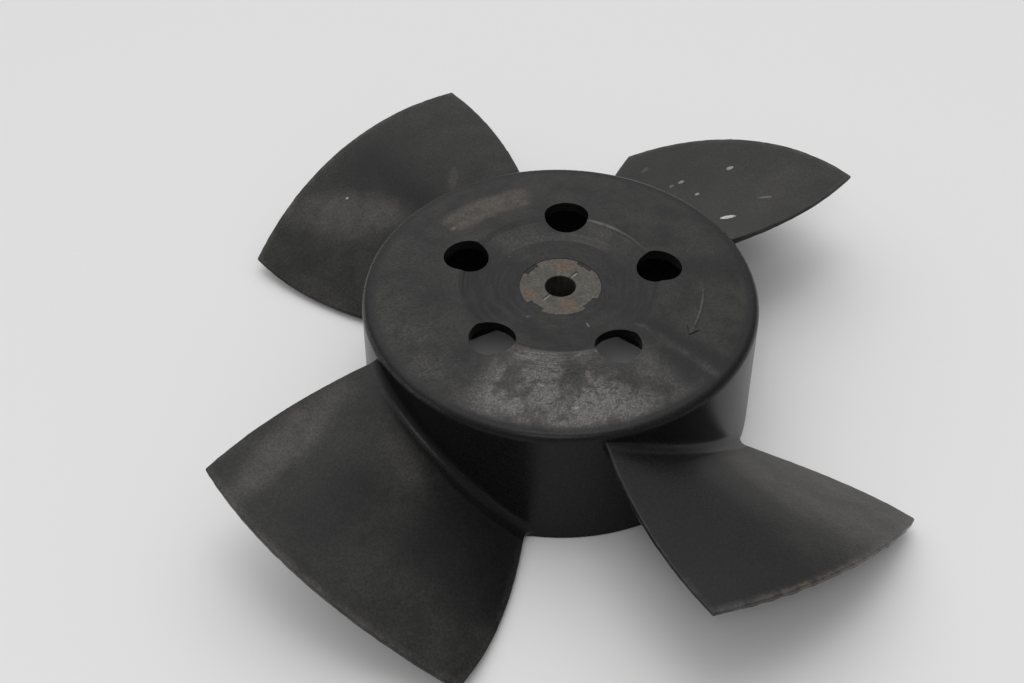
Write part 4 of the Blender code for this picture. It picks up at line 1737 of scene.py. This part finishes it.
class FANWHEEL_OT_stage(bpy.types.Operator):
    """Set up the floor, the lamps and the camera"""

    bl_idname = "fanwheel.stage"
    bl_label = "Studio stage"

    def execute(self, context):
        scene = context.scene
        stage, colours = scene.fanwheel_stage, scene.fanwheel_colours
        bpy.ops.object.select_all(action="DESELECT")
        bpy.ops.mesh.primitive_plane_add(size=stage.floor_size, location=ORIGIN)
        floor = context.active_object
        floor.name = "studio_floor"
        floor.data.materials.append(floor_material(colours))

        for name, location, size, watts in (
            ("key_softbox", stage.key_place, stage.key_size, stage.key_power),
            ("top_softbox", stage.top_place, stage.top_size, stage.top_power),
            ("front_softbox", stage.front_place, stage.front_size, stage.front_power),
        ):
            self.hang_softbox(context, name, location, size, watts)
        self.light_world(scene, stage)

        bpy.ops.object.camera_add(location=stage.camera_place)
        camera = context.active_object
        camera.name = "photo_camera"
        camera.data.lens = stage.lens
        camera.data.sensor_width = SENSOR_WIDTH
        camera.data.clip_start = CLIP_START
        view = Vector(stage.camera_target) - Vector(stage.camera_place)
        aim = view.to_track_quat("-Z", "Y").to_matrix().to_4x4()
        roll = Matrix.Rotation(stage.camera_roll, 4, "Z")
        camera.rotation_euler = (aim @ roll).to_euler()
        scene.camera = camera
        scene.view_settings.view_transform = "Standard"
        return {"FINISHED"}

    def hang_softbox(self, context, name, location, size, watts):
        """Soft box that points at the wheel."""
        bpy.ops.object.light_add(type="AREA", location=location)
        lamp = context.active_object
        lamp.name = name
        lamp.data.shape = "RECTANGLE"
        lamp.data.size = size
        lamp.data.size_y = size * SOFTBOX_SHARE
        lamp.data.energy = watts
        lamp.rotation_euler = (-Vector(location)).to_track_quat("-Z", "Y").to_euler()

    def light_world(self, scene, stage):
        """Studio light that is bright above and behind, and dim on the camera's side."""
        world = bpy.data.worlds.new("studio_world")
        scene.world = world
        world.use_nodes = True
        tree = world.node_tree
        background = tree.nodes["Background"]
        direction = add_node(tree, "ShaderNodeTexCoord").outputs["Generated"]
        middle = Vector(SKY_MIDDLE).normalized()
        cosine = vector_step(tree, "DOT_PRODUCT", direction, middle)["Value"]
        gain = 1.0 / (1.0 - SKY_EDGE)
        near = calculate(tree, "MULTIPLY_ADD", cosine, gain, -SKY_EDGE * gain, clamp=True)
        glow = calculate(tree, "POWER", near, SKY_FALL)
        level = calculate(tree, "MULTIPLY_ADD", glow, stage.sky_bright, stage.sky_dim)
        tree.links.new(level, background.inputs["Strength"])
        background.inputs["Color"].default_value = (1.0, 1.0, 1.0, 1.0)


class FANWHEEL_PT_panel(bpy.types.Panel):
    """Sidebar panel that lists the pieces"""

    bl_idname = "FANWHEEL_PT_panel"
    bl_label = "Fan wheel"
    bl_space_type = "VIEW_3D"
    bl_region_type = "UI"
    bl_category = "Fan wheel"

    def draw(self, context):
        for operator in OPERATORS:
            self.layout.operator(operator.bl_idname)
        for group in GROUPS:
            box = self.layout.box()
            settings = getattr(context.scene, group)
            box.label(text=settings.bl_rna.name)
            for name in settings.bl_rna.properties.keys():
                if name not in ("rna_type", "name"):
                    box.prop(settings, name)


OPERATORS = (
    FANWHEEL_OT_moulding,
    FANWHEEL_OT_insert,
    FANWHEEL_OT_arrow,
    FANWHEEL_OT_stage,
)
GROUPS = {
    "fanwheel_hub": HubSizes,
    "fanwheel_blade": BladeSizes,
    "fanwheel_insert": InsertSizes,
    "fanwheel_arrow": ArrowSizes,
    "fanwheel_colours": FinishColours,
    "fanwheel_stage": StageSettings,
}


def register():
    """Add the add-on's classes and settings."""
    for item in (*GROUPS.values(), *OPERATORS, FANWHEEL_PT_panel):
        bpy.utils.register_class(item)
    for name, group in GROUPS.items():
        setattr(bpy.types.Scene, name, PointerProperty(type=group))


def unregister():
    """Take them away again."""
    for name in GROUPS:
        delattr(bpy.types.Scene, name)
    for item in (FANWHEEL_PT_panel, *reversed(OPERATORS), *reversed(GROUPS.values())):
        bpy.utils.unregister_class(item)


def main():
    """Build the scene."""
    register()
    bpy.ops.fanwheel.moulding()
    bpy.ops.fanwheel.insert()
    bpy.ops.fanwheel.arrow()
    bpy.ops.fanwheel.stage()


if __name__ == "__main__":
    main()
